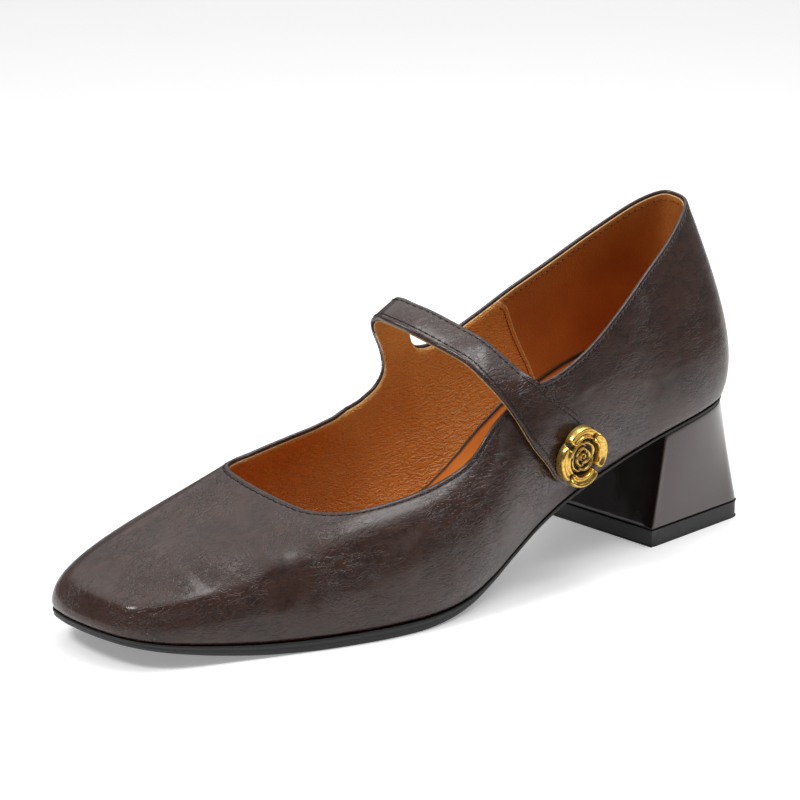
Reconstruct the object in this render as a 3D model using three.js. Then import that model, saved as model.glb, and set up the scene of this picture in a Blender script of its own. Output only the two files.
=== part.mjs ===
// Mary jane shoe for the left foot: square toe, strap over the instep, flared block heel.
// Millimetres, +Z up, toe towards -Y, the outer side of the foot towards +X.
// The origin is on the floor, in the middle of the heel's face.
import * as THREE from "three";

// Whole shoe
const length = 244;
const width = 78;
const heelHeight = 44;
const backHeight = 66;
const toeSpring = 6.6;
const seatRadius = 27;

// Layers
const wall = 2.1;
const gap = 0.3;
const soleEdge = 3.6;
const soleLip = 0.7;
const insoleThickness = 1.8;
const insoleClearance = 0.45;

// Heel
const liftThickness = 5.6;
const heelBackInset = 2.4;
const heelBackWidth = 53;
const heelBreastWidth = 57;
const heelDepth = 48.6;
const heelCorner = 7;
const seatDepth = 43;
const seatInset = 0.3;
const heelHollow = 0.25;

// Strap and rosette
const strapCrown = 0.5;
const strapEdgeRound = 0.55;
const lapEase = 0.15;
const rosetteDiameter = 20.4;
const rosetteThickness = 2.6;
const rosetteLobes = 4;
const rosetteLobeDepth = 0.5;
const rosetteLean = 6;

// Height of the upper's lower edge and the edge of the sole under it, one row per place along
// the shoe. heel is a share of heelHeight, spring of toeSpring, edge of soleEdge, lip of soleLip.
const bottomColumns = ["along", "heel", "spring", "edge", "lip"];
const bottomRows = table(bottomColumns, [
  [0.0, 1.0, 0.0, 0.3, 0.1],
  [0.094, 0.926, 0.0, 0.3, 0.1],
  [0.176, 0.837, 0.0, 0.3, 0.1],
  [0.262, 0.678, 0.0, 0.36, 0.15],
  [0.348, 0.488, 0.0, 0.46, 0.25],
  [0.402, 0.347, 0.0, 0.5, 0.3],
  [0.459, 0.191, 0.0, 0.52, 0.4],
  [0.504, 0.094, 0.0, 0.58, 0.55],
  [0.553, 0.03, 0.0, 0.7, 0.75],
  [0.607, 0.004, 0.0, 0.88, 0.9],
  [0.652, 0.0, 0.0, 1.0, 1.0],
  [0.77, 0.0, 0.0, 1.0, 1.0],
  [0.832, 0.0, 0.076, 0.96, 0.9],
  [0.893, 0.0, 0.303, 0.86, 0.7],
  [0.947, 0.0, 0.606, 0.72, 0.4],
  [1.01, 0.0, 1.04, 0.56, 0.15],
]);

// Sections of the upper, one row per section, from the back round the outer side to the toe
// and home along the inner side. foot is on the lower edge, rim on the top edge, and low and
// high are the handles of the curve that joins them. along is a share of the length, out of
// the width and up of backHeight; rimUp is taken from the lower edge's height at that place.
const sectionColumns = [
  "footAlong", "footOut", "rimAlong", "rimOut", "rimUp",
  "lowAlong", "lowOut", "lowUp", "highAlong", "highOut", "highUp",
];
const sections = table(sectionColumns, [
  [0.0, 0.0, 0.037, -0.026, 1.003, -0.023, 0.0, 0.242, -0.035, 0.0, -0.379],
  [0.012, 0.167, 0.047, 0.058, 0.987, -0.02, 0.058, 0.242, -0.033, 0.083, -0.379],
  [0.047, 0.288, 0.08, 0.122, 0.944, -0.012, 0.077, 0.242, -0.02, 0.122, -0.379],
  [0.102, 0.337, 0.131, 0.186, 0.873, 0.0, 0.064, 0.242, 0.0, 0.115, -0.364],
  [0.176, 0.341, 0.195, 0.244, 0.807, 0.0, 0.058, 0.227, 0.0, 0.09, -0.348],
  [0.25, 0.314, 0.258, 0.291, 0.753, 0.0, 0.071, 0.227, 0.0, 0.077, -0.318],
  [0.32, 0.295, 0.32, 0.315, 0.701, 0.0, 0.094, 0.227, 0.0, 0.064, -0.273],
  [0.389, 0.292, 0.381, 0.328, 0.704, 0.0, 0.105, 0.212, 0.0, 0.059, -0.242],
  [0.455, 0.318, 0.439, 0.333, 0.758, 0.0, 0.115, 0.197, 0.0, 0.067, -0.242],
  [0.516, 0.365, 0.49, 0.321, 0.728, 0.0, 0.103, 0.182, 0.0, 0.109, -0.212],
  [0.574, 0.41, 0.533, 0.312, 0.616, 0.0, 0.071, 0.167, 0.0, 0.128, -0.121],
  [0.631, 0.423, 0.578, 0.303, 0.57, 0.0, 0.045, 0.167, 0.008, 0.141, -0.076],
  [0.689, 0.397, 0.623, 0.286, 0.541, 0.004, 0.038, 0.167, 0.016, 0.141, -0.061],
  [0.746, 0.344, 0.662, 0.256, 0.518, 0.006, 0.032, 0.167, 0.033, 0.128, -0.061],
  [0.803, 0.276, 0.695, 0.212, 0.5, 0.006, 0.032, 0.167, 0.049, 0.103, -0.061],
  [0.859, 0.205, 0.717, 0.147, 0.491, 0.006, 0.032, 0.174, 0.066, 0.077, -0.061],
  [0.91, 0.141, 0.732, 0.071, 0.495, 0.006, 0.032, 0.182, 0.082, 0.051, -0.091],
  [0.953, 0.077, 0.74, -0.013, 0.511, 0.008, 0.026, 0.189, 0.098, 0.038, -0.121],
  [0.982, -0.013, 0.745, -0.096, 0.529, 0.012, 0.019, 0.197, 0.111, 0.026, -0.152],
  [0.995, -0.122, 0.748, -0.16, 0.544, 0.012, 0.006, 0.197, 0.115, 0.013, -0.167],
  [1.0, -0.237, 0.75, -0.218, 0.558, 0.012, 0.0, 0.195, 0.115, 0.0, -0.188],
  [0.999, -0.353, 0.75, -0.276, 0.571, 0.012, -0.006, 0.2, 0.117, -0.019, -0.198],
  [0.989, -0.462, 0.748, -0.333, 0.583, 0.012, -0.023, 0.211, 0.115, -0.062, -0.185],
  [0.963, -0.531, 0.74, -0.378, 0.595, 0.008, -0.036, 0.219, 0.102, -0.092, -0.184],
  [0.914, -0.559, 0.723, -0.397, 0.602, 0.004, -0.041, 0.224, 0.076, -0.109, -0.168],
  [0.861, -0.568, 0.697, -0.401, 0.612, 0.002, -0.041, 0.226, 0.051, -0.115, -0.147],
  [0.803, -0.574, 0.664, -0.401, 0.63, 0.002, -0.041, 0.222, 0.033, -0.122, -0.128],
  [0.746, -0.571, 0.627, -0.397, 0.65, 0.0, -0.045, 0.22, 0.016, -0.122, -0.136],
  [0.693, -0.549, 0.588, -0.392, 0.669, 0.0, -0.051, 0.227, 0.008, -0.115, -0.152],
  [0.639, -0.5, 0.562, -0.384, 0.698, 0.0, -0.064, 0.212, -0.003, -0.092, -0.186],
  [0.594, -0.442, 0.552, -0.366, 0.775, 0.0, -0.079, 0.212, -0.012, -0.086, -0.212],
  [0.561, -0.396, 0.55, -0.341, 0.9, 0.0, -0.09, 0.227, -0.03, -0.082, -0.25],
  [0.535, -0.362, 0.55, -0.319, 1.015, 0.0, -0.098, 0.242, -0.054, -0.077, -0.285],
  [0.512, -0.336, 0.55, -0.304, 1.09, 0.0, -0.104, 0.25, -0.08, -0.074, -0.305],
  [0.494, -0.318, 0.546, -0.297, 1.125, 0.0, -0.109, 0.256, -0.098, -0.072, -0.315],
  [0.48, -0.305, 0.537, -0.294, 1.14, 0.0, -0.113, 0.258, -0.104, -0.072, -0.32],
  [0.466, -0.295, 0.521, -0.292, 1.145, 0.0, -0.115, 0.258, -0.095, -0.073, -0.322],
  [0.452, -0.286, 0.501, -0.291, 1.135, 0.0, -0.115, 0.258, -0.073, -0.074, -0.32],
  [0.439, -0.281, 0.48, -0.294, 1.115, 0.0, -0.113, 0.258, -0.049, -0.072, -0.315],
  [0.426, -0.274, 0.461, -0.306, 1.03, 0.0, -0.11, 0.242, -0.028, -0.068, -0.302],
  [0.404, -0.267, 0.437, -0.327, 0.9, 0.0, -0.106, 0.227, -0.012, -0.06, -0.282],
  [0.369, -0.26, 0.395, -0.344, 0.768, 0.0, -0.102, 0.227, -0.002, -0.05, -0.268],
  [0.316, -0.263, 0.336, -0.337, 0.748, 0.0, -0.095, 0.227, 0.0, -0.046, -0.284],
  [0.25, -0.286, 0.268, -0.314, 0.773, 0.0, -0.077, 0.227, 0.0, -0.058, -0.303],
  [0.176, -0.327, 0.197, -0.282, 0.809, 0.0, -0.058, 0.227, 0.0, -0.077, -0.348],
  [0.102, -0.337, 0.129, -0.237, 0.884, 0.0, -0.058, 0.242, 0.0, -0.103, -0.364],
  [0.047, -0.288, 0.076, -0.16, 0.975, -0.012, -0.071, 0.242, -0.02, -0.109, -0.379],
  [0.012, -0.167, 0.045, -0.096, 1.01, -0.02, -0.058, 0.242, -0.033, -0.077, -0.379],
]);

// The ear that carries the strap stands on the inner side, cut out of sections that run on up
// past the rim. For each section: the section on which its rim lies and the share that is left.
const earRows = table(["turn", "onSection", "reach"], [
  [27, 27.0, 1.0],
  [28, 28.0, 1.0],
  [28.5, 28.6, 0.99],
  [29, 29.2, 0.959],
  [29.5, 29.9, 0.889],
  [30, 30.6, 0.81],
  [30.5, 31.35, 0.747],
  [31, 32.1, 0.712],
  [31.5, 32.85, 0.705],
  [32, 33.6, 0.72],
  [33, 34.4, 0.775],
  [34, 34.62, 0.847],
  [35, 34.84, 0.941],
  [35.5, 35.7, 0.947],
  [36, 36.56, 0.965],
  [36.5, 37.32, 0.979],
  [37, 38.08, 1.011],
  [38, 38.25, 0.917],
  [39, 38.9, 0.858],
  [40, 40.03, 0.908],
  [41, 41.02, 0.979],
  [42, 42.0, 0.995],
  [43, 43.0, 1.0],
]);
const earBend = 1.5;
const earFront = 35;
const earMiddle = 36;
const earRear = 37;

// The strap's outer face from the ear over the instep, as the place of its two edges
const strapColumns = [
  "rearAlong", "rearOut", "rearUp", "frontAlong", "frontOut", "frontUp",
];
const strapRows = table(strapColumns, [
  [0.486, -0.279, 1.175, 0.527, -0.295, 1.121],
  [0.487, -0.231, 1.185, 0.532, -0.233, 1.16],
  [0.485, -0.173, 1.169, 0.536, -0.167, 1.167],
  [0.477, -0.096, 1.133, 0.53, -0.071, 1.139],
  [0.467, 0.032, 1.069, 0.515, 0.077, 1.062],
  [0.46, 0.154, 1.011, 0.507, 0.205, 1.002],
  [0.453, 0.231, 0.944, 0.502, 0.282, 0.94],
  [0.443, 0.301, 0.862, 0.489, 0.346, 0.832],
]);

// The strap on the outer quarter: section number and share of the section's height at the
// rear edge, the middle and the front edge, down to the round tip
const lapColumns = ["rearTurn", "rearV", "middleTurn", "middleV", "frontTurn", "frontV"];
const lapRows = table(lapColumns, [
  [7.85, 1.04, 8.21, 0.96, 8.57, 0.90],
  [7.38, 0.88, 7.76, 0.78, 8.15, 0.69],
  [6.84, 0.73, 7.25, 0.62, 7.65, 0.52],
  [6.46, 0.57, 6.85, 0.46, 7.25, 0.36],
  [6.24, 0.43, 6.57, 0.34, 6.89, 0.25],
  [6.22, 0.32, 6.41, 0.27, 6.60, 0.21],
  [6.29, 0.26, 6.36, 0.24, 6.42, 0.22],
]);
const rosetteTurn = 6.83;
const rosetteV = 0.46;

// How finely the surfaces are divided
const columnsPerSection = 3;
const upperRows = 9;
const soleStations = 46;
const heelArc = 44;
const heelBreastSteps = 6;
const heelLevels = 5;
const strapSteps = 3;
const rosetteSpokes = 64;
const searchSteps = 40;
const slopeStep = 0.01;

function table(columns, rows) {
  return rows.map((row) => Object.fromEntries(columns.map((name, i) => [name, row[i]])));
}

function clamp(x, low, high) {
  return Math.min(high, Math.max(low, x));
}

// Smooth curve through one column of rows placed by their "along", without overshoot.
function smoothAt(rows, column, along, key = "along") {
  const last = rows.length - 1;
  const x = clamp(along, rows[0][key], rows[last][key]);
  let i = 0;
  while (i < last - 1 && x > rows[i + 1][key]) i += 1;
  const step = (k) => rows[k + 1][key] - rows[k][key];
  const rise = (k) => (rows[k + 1][column] - rows[k][column]) / step(k);
  const slope = (k) => {
    if (k === 0) return rise(0);
    if (k === last) return rise(last - 1);
    const product = rise(k - 1) * rise(k);
    return product > 0 ? (2 * product) / (rise(k - 1) + rise(k)) : 0;
  };
  const s = (x - rows[i][key]) / step(i);
  return hermite(s, rows[i][column], rows[i + 1][column], slope(i) * step(i), slope(i + 1) * step(i));
}

// Cubic from a to b, s from 0 to 1, with the slopes m and n at its ends.
function hermite(s, a, b, m, n) {
  return a + s * (m + s * (3 * (b - a) - 2 * m - n + s * (2 * (a - b) + m + n)));
}

// Height of the upper's lower edge above the floor.
function edgeUp(along) {
  const heelShare = smoothAt(bottomRows, "heel", along);
  const springShare = smoothAt(bottomRows, "spring", along);
  return soleEdge + heelShare * (heelHeight - soleEdge) + springShare * toeSpring;
}

// Height of the sole's underside, 0 where the forepart stands on the floor.
function undersideUp(along) {
  return edgeUp(along) - soleEdge * smoothAt(bottomRows, "edge", along);
}

function place(along, out, up) {
  return new THREE.Vector3(out * width, seatRadius - along * length, up);
}

function alongOf(point) {
  return (seatRadius - point.y) / length;
}

// One column of the sections at any turn round the shoe: a closed smooth curve.
function sectionAt(turn, column) {
  const i = Math.floor(turn);
  const value = (k) => sections[wrapped(k)][column];
  const slope = (k) => (value(k + 1) - value(k - 1)) / 2;
  return hermite(turn - i, value(i), value(i + 1), slope(i), slope(i + 1));
}

function wrapped(turn) {
  const n = sections.length;
  return ((turn % n) + n) % n;
}

function footPoint(turn) {
  const along = sectionAt(turn, "footAlong");
  return place(along, sectionAt(turn, "footOut"), edgeUp(along));
}

// A section's curve from the lower edge (0) to its top (1).
function sectionPoint(turn, share) {
  const handle = (end) =>
    new THREE.Vector3(
      sectionAt(turn, end + "Out") * width,
      -sectionAt(turn, end + "Along") * length,
      sectionAt(turn, end + "Up") * backHeight,
    );
  const rimAlong = sectionAt(turn, "rimAlong");
  const rimUp = edgeUp(rimAlong) + sectionAt(turn, "rimUp") * backHeight;
  const foot = footPoint(turn);
  const rim = place(rimAlong, sectionAt(turn, "rimOut"), rimUp);
  const low = foot.clone().add(handle("low"));
  const high = rim.clone().add(handle("high"));
  const rest = 1 - share;
  return foot
    .multiplyScalar(rest ** 3)
    .addScaledVector(low, 3 * rest ** 2 * share)
    .addScaledVector(high, 3 * rest * share ** 2)
    .addScaledVector(rim, share ** 3);
}

// A column of the ear's rows, straight between the two corners at the ear's top.
function earAt(column, turn) {
  if (turn <= earFront || turn >= earRear) return smoothAt(earRows, column, turn, "turn");
  const next = earRows.findIndex((row) => row.turn > turn);
  const [a, b] = [earRows[next - 1], earRows[next]];
  return a[column] + ((turn - a.turn) / (b.turn - a.turn)) * (b[column] - a[column]);
}

// The section and the share of it that lie at v, from the lower edge (0) to the rim (1).
function onSections(turn, v) {
  const t = wrapped(turn);
  if (t <= earRows[0].turn || t >= earRows[earRows.length - 1].turn) return [t, v];
  const shift = earAt("onSection", t) - t;
  return [t + shift * Math.max(v, 0) ** earBend, earAt("reach", t) * v];
}

// The upper's outer face: turn goes round the shoe, v from the lower edge (0) to the rim (1).
function outerFace(turn, v) {
  return sectionPoint(...onSections(turn, v));
}

function upwards(turn, v) {
  const [t, share] = onSections(turn, v);
  const rise = sectionPoint(t, share + slopeStep).sub(sectionPoint(t, share - slopeStep));
  return rise.normalize();
}

// Direction out of the shoe, square to the upper's outer face.
function outwards(turn, v) {
  const [t, share] = onSections(turn, v);
  const round = sectionPoint(t + slopeStep, share).sub(sectionPoint(t - slopeStep, share));
  return upwards(turn, v).cross(round).normalize();
}

function fromOuterFace(turn, v, distance) {
  return outerFace(turn, v).addScaledVector(outwards(turn, v), distance);
}

// The turn at which one side of the lower edge reaches a place along the shoe.
function turnAt(along, back, toe) {
  let low = back;
  let high = toe;
  for (let i = 0; i < searchSteps; i += 1) {
    const middle = (low + high) / 2;
    if (sectionAt(middle, "footAlong") < along) low = middle;
    else high = middle;
  }
  return (low + high) / 2;
}

// The section at the very tip of the toe.
function toeTurn() {
  const alongs = sections.map((row) => row.footAlong);
  return alongs.indexOf(Math.max(...alongs));
}

// The lower edge as a closed ring whose points lie opposite each other in pairs, from the
// back along the outer side to the toe and home along the inner side.
function footRing() {
  const toe = toeTurn();
  const outer = [];
  const inner = [];
  for (let k = 0; k <= soleStations; k += 1) {
    const along = (1 - Math.cos((Math.PI * k) / soleStations)) / 2;
    outer.push(footPoint(turnAt(along, 0, toe)));
    inner.push(footPoint(turnAt(along, sections.length, toe)));
  }
  return [...outer, ...inner.slice(1, -1).reverse()];
}

// A ring moved outwards in plan by an amount that may change along the shoe.
function grown(ring, amount) {
  const n = ring.length;
  return ring.map((point, i) => {
    const along = ring[(i + 1) % n].clone().sub(ring[(i + n - 1) % n]);
    const out = new THREE.Vector3(-along.y, along.x, 0).normalize();
    return point.clone().addScaledVector(out, amount(alongOf(point)));
  });
}

function atHeight(ring, up) {
  return ring.map((point) => new THREE.Vector3(point.x, point.y, up(alongOf(point))));
}

// Signed volume, positive where the faces point out.
function volume(points, faces) {
  const corner = (i) => points[i];
  const parts = faces.map(([a, b, c]) => corner(a).dot(corner(b).clone().cross(corner(c))));
  return parts.reduce((sum, part) => sum + part, 0) / 6;
}

function meshOf(name, points, faces, material) {
  const turned = volume(points, faces) < 0 ? faces.map(([a, b, c]) => [a, c, b]) : faces;
  const geometry = new THREE.BufferGeometry().setFromPoints(points);
  geometry.setIndex(turned.flat());
  geometry.computeVertexNormals();
  const mesh = new THREE.Mesh(geometry, material);
  mesh.name = name;
  return mesh;
}

// Triangles between neighbouring rings of equal length.
function skin(rings, count) {
  const faces = [];
  for (let r = 0; r + 1 < rings; r += 1) {
    for (let i = 0; i < count; i += 1) {
      const j = (i + 1) % count;
      const a = r * count;
      const b = a + count;
      faces.push([a + i, a + j, b + j], [a + i, b + j, b + i]);
    }
  }
  return faces;
}

// Triangles that close a ring by joining the points that lie opposite each other.
function lid(start, count, facesUp) {
  const faces = [];
  for (let i = 0; i < count / 2; i += 1) {
    const a = start + i;
    const b = start + i + 1;
    const c = start + ((count - i - 1) % count);
    const d = start + ((count - i) % count);
    if (b !== c) faces.push([a, b, c]);
    if (a !== d) faces.push([a, c, d]);
  }
  return facesUp ? faces : faces.map(([a, b, c]) => [a, c, b]);
}

// A closed solid through rings stacked from one end to the other.
function stack(name, rings, material) {
  const count = rings[0].length;
  const last = (rings.length - 1) * count;
  const side = skin(rings.length, count);
  const faces = [...side, ...lid(0, count, false), ...lid(last, count, true)];
  return meshOf(name, rings.flat(), faces, material);
}

// The upper: outer face and inner face a wall apart, joined along the rim and the lower edge.
function upper(material) {
  const count = sections.length * columnsPerSection;
  const rings = [];
  const ring = (v, inset) => {
    const turns = Array.from({ length: count }, (_, i) => i / columnsPerSection);
    return turns.map((turn) => fromOuterFace(turn, v, -inset));
  };
  for (let r = 0; r <= upperRows; r += 1) rings.push(ring(r / upperRows, 0));
  for (let r = upperRows; r >= 0; r -= 1) rings.push(ring(r / upperRows, wall));
  const faces = skin(rings.length, count);
  const last = (rings.length - 1) * count;
  for (let i = 0; i < count; i += 1) {
    const j = (i + 1) % count;
    faces.push([last + i, last + j, j], [last + i, j, i]);
  }
  return meshOf("upper", rings.flat(), faces, material);
}

// The sole's side from the upper's edge down, as shares of its depth and millimetres out from
// the lip: the lip itself, a shallow groove under it, the side and its bevel.
const soleLevels = table(["depth", "out"], [
  [0, 0],
  [0.28, 0],
  [0.36, -0.35],
  [0.8, -0.3],
  [1, -0.8],
]);

function outsole(material) {
  const foot = footRing();
  const lip = (along) => soleLip * smoothAt(bottomRows, "lip", along);
  const top = (along) => edgeUp(along) - gap;
  const rings = soleLevels.map(({ depth, out }) => {
    const ring = grown(foot, (along) => lip(along) + out);
    return atHeight(ring, (along) => top(along) + depth * (undersideUp(along) - top(along)));
  });
  return stack("outsole", rings, material);
}

// The insole lies on the sole, inside the upper.
function insole(material) {
  const ring = grown(footRing(), () => -wall - insoleClearance);
  const rings = [atHeight(ring, edgeUp), atHeight(ring, (along) => edgeUp(along) + insoleThickness)];
  return stack("insole", rings, material);
}

// The heel's outline on the floor, from the outer breast corner round the back to the inner.
function heelFloorArc() {
  const backY = seatRadius - heelBackInset;
  const breastY = backY - heelDepth;
  const path = new THREE.Path();
  path.moveTo(heelBreastWidth / 2, breastY);
  path.lineTo(heelBackWidth / 2, backY - heelCorner);
  path.quadraticCurveTo(heelBackWidth / 2, backY, heelBackWidth / 2 - heelCorner, backY);
  path.lineTo(heelCorner - heelBackWidth / 2, backY);
  path.quadraticCurveTo(-heelBackWidth / 2, backY, -heelBackWidth / 2, backY - heelCorner);
  path.lineTo(-heelBreastWidth / 2, breastY);
  return path.getSpacedPoints(heelArc).map((p) => new THREE.Vector3(p.x, p.y, 0));
}

// The heel's outline under the seat, between the same corners.
function heelSeatArc() {
  const toe = toeTurn();
  const breast = seatDepth / length;
  const outer = turnAt(breast, 0, toe);
  const inner = turnAt(breast, sections.length, toe) - sections.length;
  const steps = Array.from({ length: heelArc + 1 }, (_, i) => i / heelArc);
  const arc = steps.map((s) => footPoint(outer + (inner - outer) * s));
  const curve = new THREE.CatmullRomCurve3(arc);
  const spaced = curve.getSpacedPoints(heelArc);
  const middle = new THREE.Vector3(0, seatRadius - seatDepth, 0);
  return spaced.map((point) => {
    const inwards = middle.clone().sub(point).setZ(0).normalize();
    return point.addScaledVector(inwards, seatInset);
  });
}

// An arc closed by the straight breast, as a ring whose points lie opposite each other.
function withBreast(arc) {
  const breast = [];
  for (let i = 1; i < heelBreastSteps; i += 1) {
    breast.push(arc[arc.length - 1].clone().lerp(arc[0], i / heelBreastSteps));
  }
  const ring = [...arc, ...breast];
  const start = heelArc / 2;
  return [...ring.slice(start), ...ring.slice(0, start)];
}

function heel(material) {
  const floorRing = withBreast(heelFloorArc());
  const seatRing = withBreast(heelSeatArc());
  const rings = [];
  for (let level = 0; level <= heelLevels; level += 1) {
    const s = level / heelLevels;
    const hollow = -heelHollow * Math.sin(Math.PI * s);
    const ring = floorRing.map((low, i) => {
      const high = seatRing[i];
      const up = undersideUp(alongOf(high)) - gap;
      const point = low.clone().lerp(high, s);
      return point.setZ(liftThickness + gap + s * (up - liftThickness - gap));
    });
    rings.push(grown(ring, () => -hollow));
  }
  return stack("heel", rings, material);
}

function topLift(material) {
  const ring = withBreast(heelFloorArc());
  return stack("top_lift", [atHeight(ring, () => 0), atHeight(ring, () => liftThickness)], material);
}

// The strap's outer face: its rear edge, middle and front edge at each row.
function strapEdges() {
  const rows = [];
  const onEar = (turn) => outerFace(turn, 1).addScaledVector(upwards(turn, 1), gap);
  rows.push([onEar(earRear), onEar(earMiddle), onEar(earFront)]);
  for (const row of strapRows) {
    const at = (edge) => {
      const along = row[edge + "Along"];
      return place(along, row[edge + "Out"], edgeUp(along) + row[edge + "Up"] * backHeight);
    };
    const rear = at("rear");
    const front = at("front");
    rows.push([rear, rear.clone().add(front).divideScalar(2), front]);
  }
  const lift = gap + wall + lapEase;
  for (const row of lapRows) {
    rows.push([
      fromOuterFace(row.rearTurn, row.rearV, lift),
      fromOuterFace(row.middleTurn, row.middleV, lift),
      fromOuterFace(row.frontTurn, row.frontV, lift),
    ]);
  }
  return [0, 1, 2].map((edge) => new THREE.CatmullRomCurve3(rows.map((row) => row[edge])));
}

// The strap's cross-section as steps across (-1 rear to 1 front) and down (0 outer, 1 inner).
const strapOutline = [
  [-1, strapEdgeRound], [-0.94, 0], [-0.5, 0], [0, 0], [0.5, 0], [0.94, 0],
  [1, strapEdgeRound], [0.94, 1], [0.5, 1], [0, 1], [-0.5, 1], [-0.94, 1],
];

function strap(material) {
  const edges = strapEdges();
  const steps = (edges[0].points.length - 1) * strapSteps;
  const freeShare = strapRows.length / (edges[0].points.length - 1);
  const rings = [];
  for (let i = 0; i <= steps; i += 1) {
    const s = i / steps;
    const [rear, middle, front] = edges.map((curve) => curve.getPoint(s));
    const run = edges[1].getTangent(s);
    const across = front.clone().sub(rear).normalize();
    const free = across.clone().cross(run).normalize();
    const out = i === 0 ? outwards(earMiddle, 1) : free;
    const crown = strapCrown * Math.sin(Math.PI * clamp(s / freeShare, 0, 1));
    rings.push(
      strapOutline.map(([a, down]) => {
        const point = rear.clone().multiplyScalar((a * (a - 1)) / 2);
        point.addScaledVector(middle, 1 - a * a);
        point.addScaledVector(front, (a * (a + 1)) / 2);
        return point.addScaledVector(out, crown * (1 - a * a) - down * wall);
      }),
    );
  }
  return stack("strap", rings, material);
}

// Height of the rosette's relief, in shares of its thickness, at a share of its radius.
const rosetteColumns = ["along", "height", "petal"];
const rosetteRows = table(rosetteColumns, [
  [0.0, 0.95, 0.0],
  [0.2, 0.9, 0.0],
  [0.38, 0.68, 0.0],
  [0.5, 0.5, 0.1],
  [0.62, 0.6, 0.15],
  [0.78, 0.78, 0.2],
  [0.9, 0.9, 0.12],
  [1.0, 0.55, 0.1],
]);

// The rosette: a domed centre in a hollow, four petals with raised rims round it.
function rosette(material) {
  const radius = rosetteDiameter / 2;
  const lean = Math.tan(THREE.MathUtils.degToRad(rosetteLean));
  const lift = wall + 3 * gap + radius * lean;
  const centre = fromOuterFace(rosetteTurn, rosetteV, lift);
  const out = outwards(rosetteTurn, rosetteV).add(new THREE.Vector3(0, -lean, 0)).normalize();
  const side = upwards(rosetteTurn, rosetteV).cross(out).normalize();
  const up = out.clone().cross(side);
  const ringAt = (share, height) =>
    Array.from({ length: rosetteSpokes }, (_, i) => {
      const angle = (2 * Math.PI * i) / rosetteSpokes;
      const notch = Math.abs(Math.sin((rosetteLobes * angle) / 2));
      const reach = share * (radius - rosetteLobeDepth * share * (1 - notch));
      const relief = height * (1 - smoothAt(rosetteRows, "petal", share) * (1 - notch));
      const point = centre.clone().addScaledVector(side, reach * Math.cos(angle));
      point.addScaledVector(up, reach * Math.sin(angle));
      return point.addScaledVector(out, rosetteThickness * relief);
    });
  const rings = [ringAt(1, 0)];
  for (const row of [...rosetteRows].reverse()) {
    if (row.along > 0) rings.push(ringAt(row.along, row.height));
  }
  return stack("rosette", rings, material);
}

function standard(looks) {
  return new THREE.MeshStandardMaterial({ metalness: 0, ...looks });
}

function leather() {
  return standard({ color: 0x4a3a35, roughness: 0.45 });
}

function rubber() {
  return standard({ color: 0x1c1b1c, roughness: 0.6 });
}

const shoe = new THREE.Group();
shoe.add(
  upper(leather()),
  strap(leather()),
  insole(standard({ color: 0xc87a3c, roughness: 0.5 })),
  outsole(rubber()),
  heel(standard({ color: 0x5a4b45, roughness: 0.12 })),
  topLift(rubber()),
  rosette(standard({ color: 0xb98d3c, roughness: 0.3, metalness: 1 })),
);

export default shoe;
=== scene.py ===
# %% [markdown]
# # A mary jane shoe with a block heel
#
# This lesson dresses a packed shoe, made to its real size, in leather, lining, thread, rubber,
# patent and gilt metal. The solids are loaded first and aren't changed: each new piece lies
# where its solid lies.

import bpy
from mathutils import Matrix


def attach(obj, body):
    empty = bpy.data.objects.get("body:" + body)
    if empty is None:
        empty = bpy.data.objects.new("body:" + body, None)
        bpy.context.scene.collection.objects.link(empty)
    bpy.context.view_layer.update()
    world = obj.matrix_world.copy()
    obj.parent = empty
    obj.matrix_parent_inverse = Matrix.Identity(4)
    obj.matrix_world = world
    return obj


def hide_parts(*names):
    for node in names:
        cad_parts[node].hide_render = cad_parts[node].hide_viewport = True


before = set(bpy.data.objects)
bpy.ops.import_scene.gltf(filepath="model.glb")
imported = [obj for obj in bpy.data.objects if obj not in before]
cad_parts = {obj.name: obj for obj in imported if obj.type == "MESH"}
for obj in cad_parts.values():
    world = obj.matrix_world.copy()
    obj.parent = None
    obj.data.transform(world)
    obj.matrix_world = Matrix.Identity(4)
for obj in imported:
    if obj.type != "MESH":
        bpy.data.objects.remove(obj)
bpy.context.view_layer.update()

# %% [markdown]
# Blender works in metres and a shoemaker in millimetres. One small number turns one into the
# other, and the sizes below are the ones a maker would note on the last: length over all, width
# of the last, height of the heel seat, height of the back, and the spring of the toe.

# %% Sizes
import math

import bmesh
import bpy
import numpy as np
from mathutils import Matrix, Vector

MM = 0.001
# length and width of the last, heights of the heel seat and of the back, spring of the toe
LENGTH, WIDTH, HEEL, BACK, SPRING = 244.0, 78.0, 44.0, 66.0, 6.6
# back of the foot from the heel's axis, wall of the upper, gap between solids, sole's edge and lip
SEAT, WALL, GAP, SOLE_EDGE, SOLE_LIP = 27.0, 2.1, 0.3, 3.6, 0.7
# top lift, leather with its backing, radius of the turned edge
LIFT, LEATHER, FOLD = 5.6, 1.3, 0.65
print("shoe", LENGTH, "mm long on a heel of", HEEL, "mm")

# %% [markdown]
# ## Camera, light and floor
#
# The shoe stands three-quarters to us, toe to the left, seen from a little above. A long lens
# keeps the heel and the toe in true proportion.

# %% Camera
def looking(place, target):
    """Turn for a thing at place that points its -Z at target, both in metres."""
    return (Vector(target) - Vector(place)).to_track_quat("-Z", "Y").to_euler()


camera = bpy.data.objects.new("camera", bpy.data.cameras.new("camera"))
camera.location = (0.4895, -0.5525, 0.2459)
camera.rotation_euler = looking(camera.location, (-0.01028, -0.1004, 0.05661))
camera.data.lens, camera.data.sensor_width = 100.9, 36
camera.data.clip_start, camera.data.clip_end = 0.05, 50
bpy.context.scene.collection.objects.link(camera)
bpy.context.scene.camera = camera
bpy.context.scene.view_settings.view_transform = "Standard"
print("camera at", tuple(camera.location))

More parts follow.
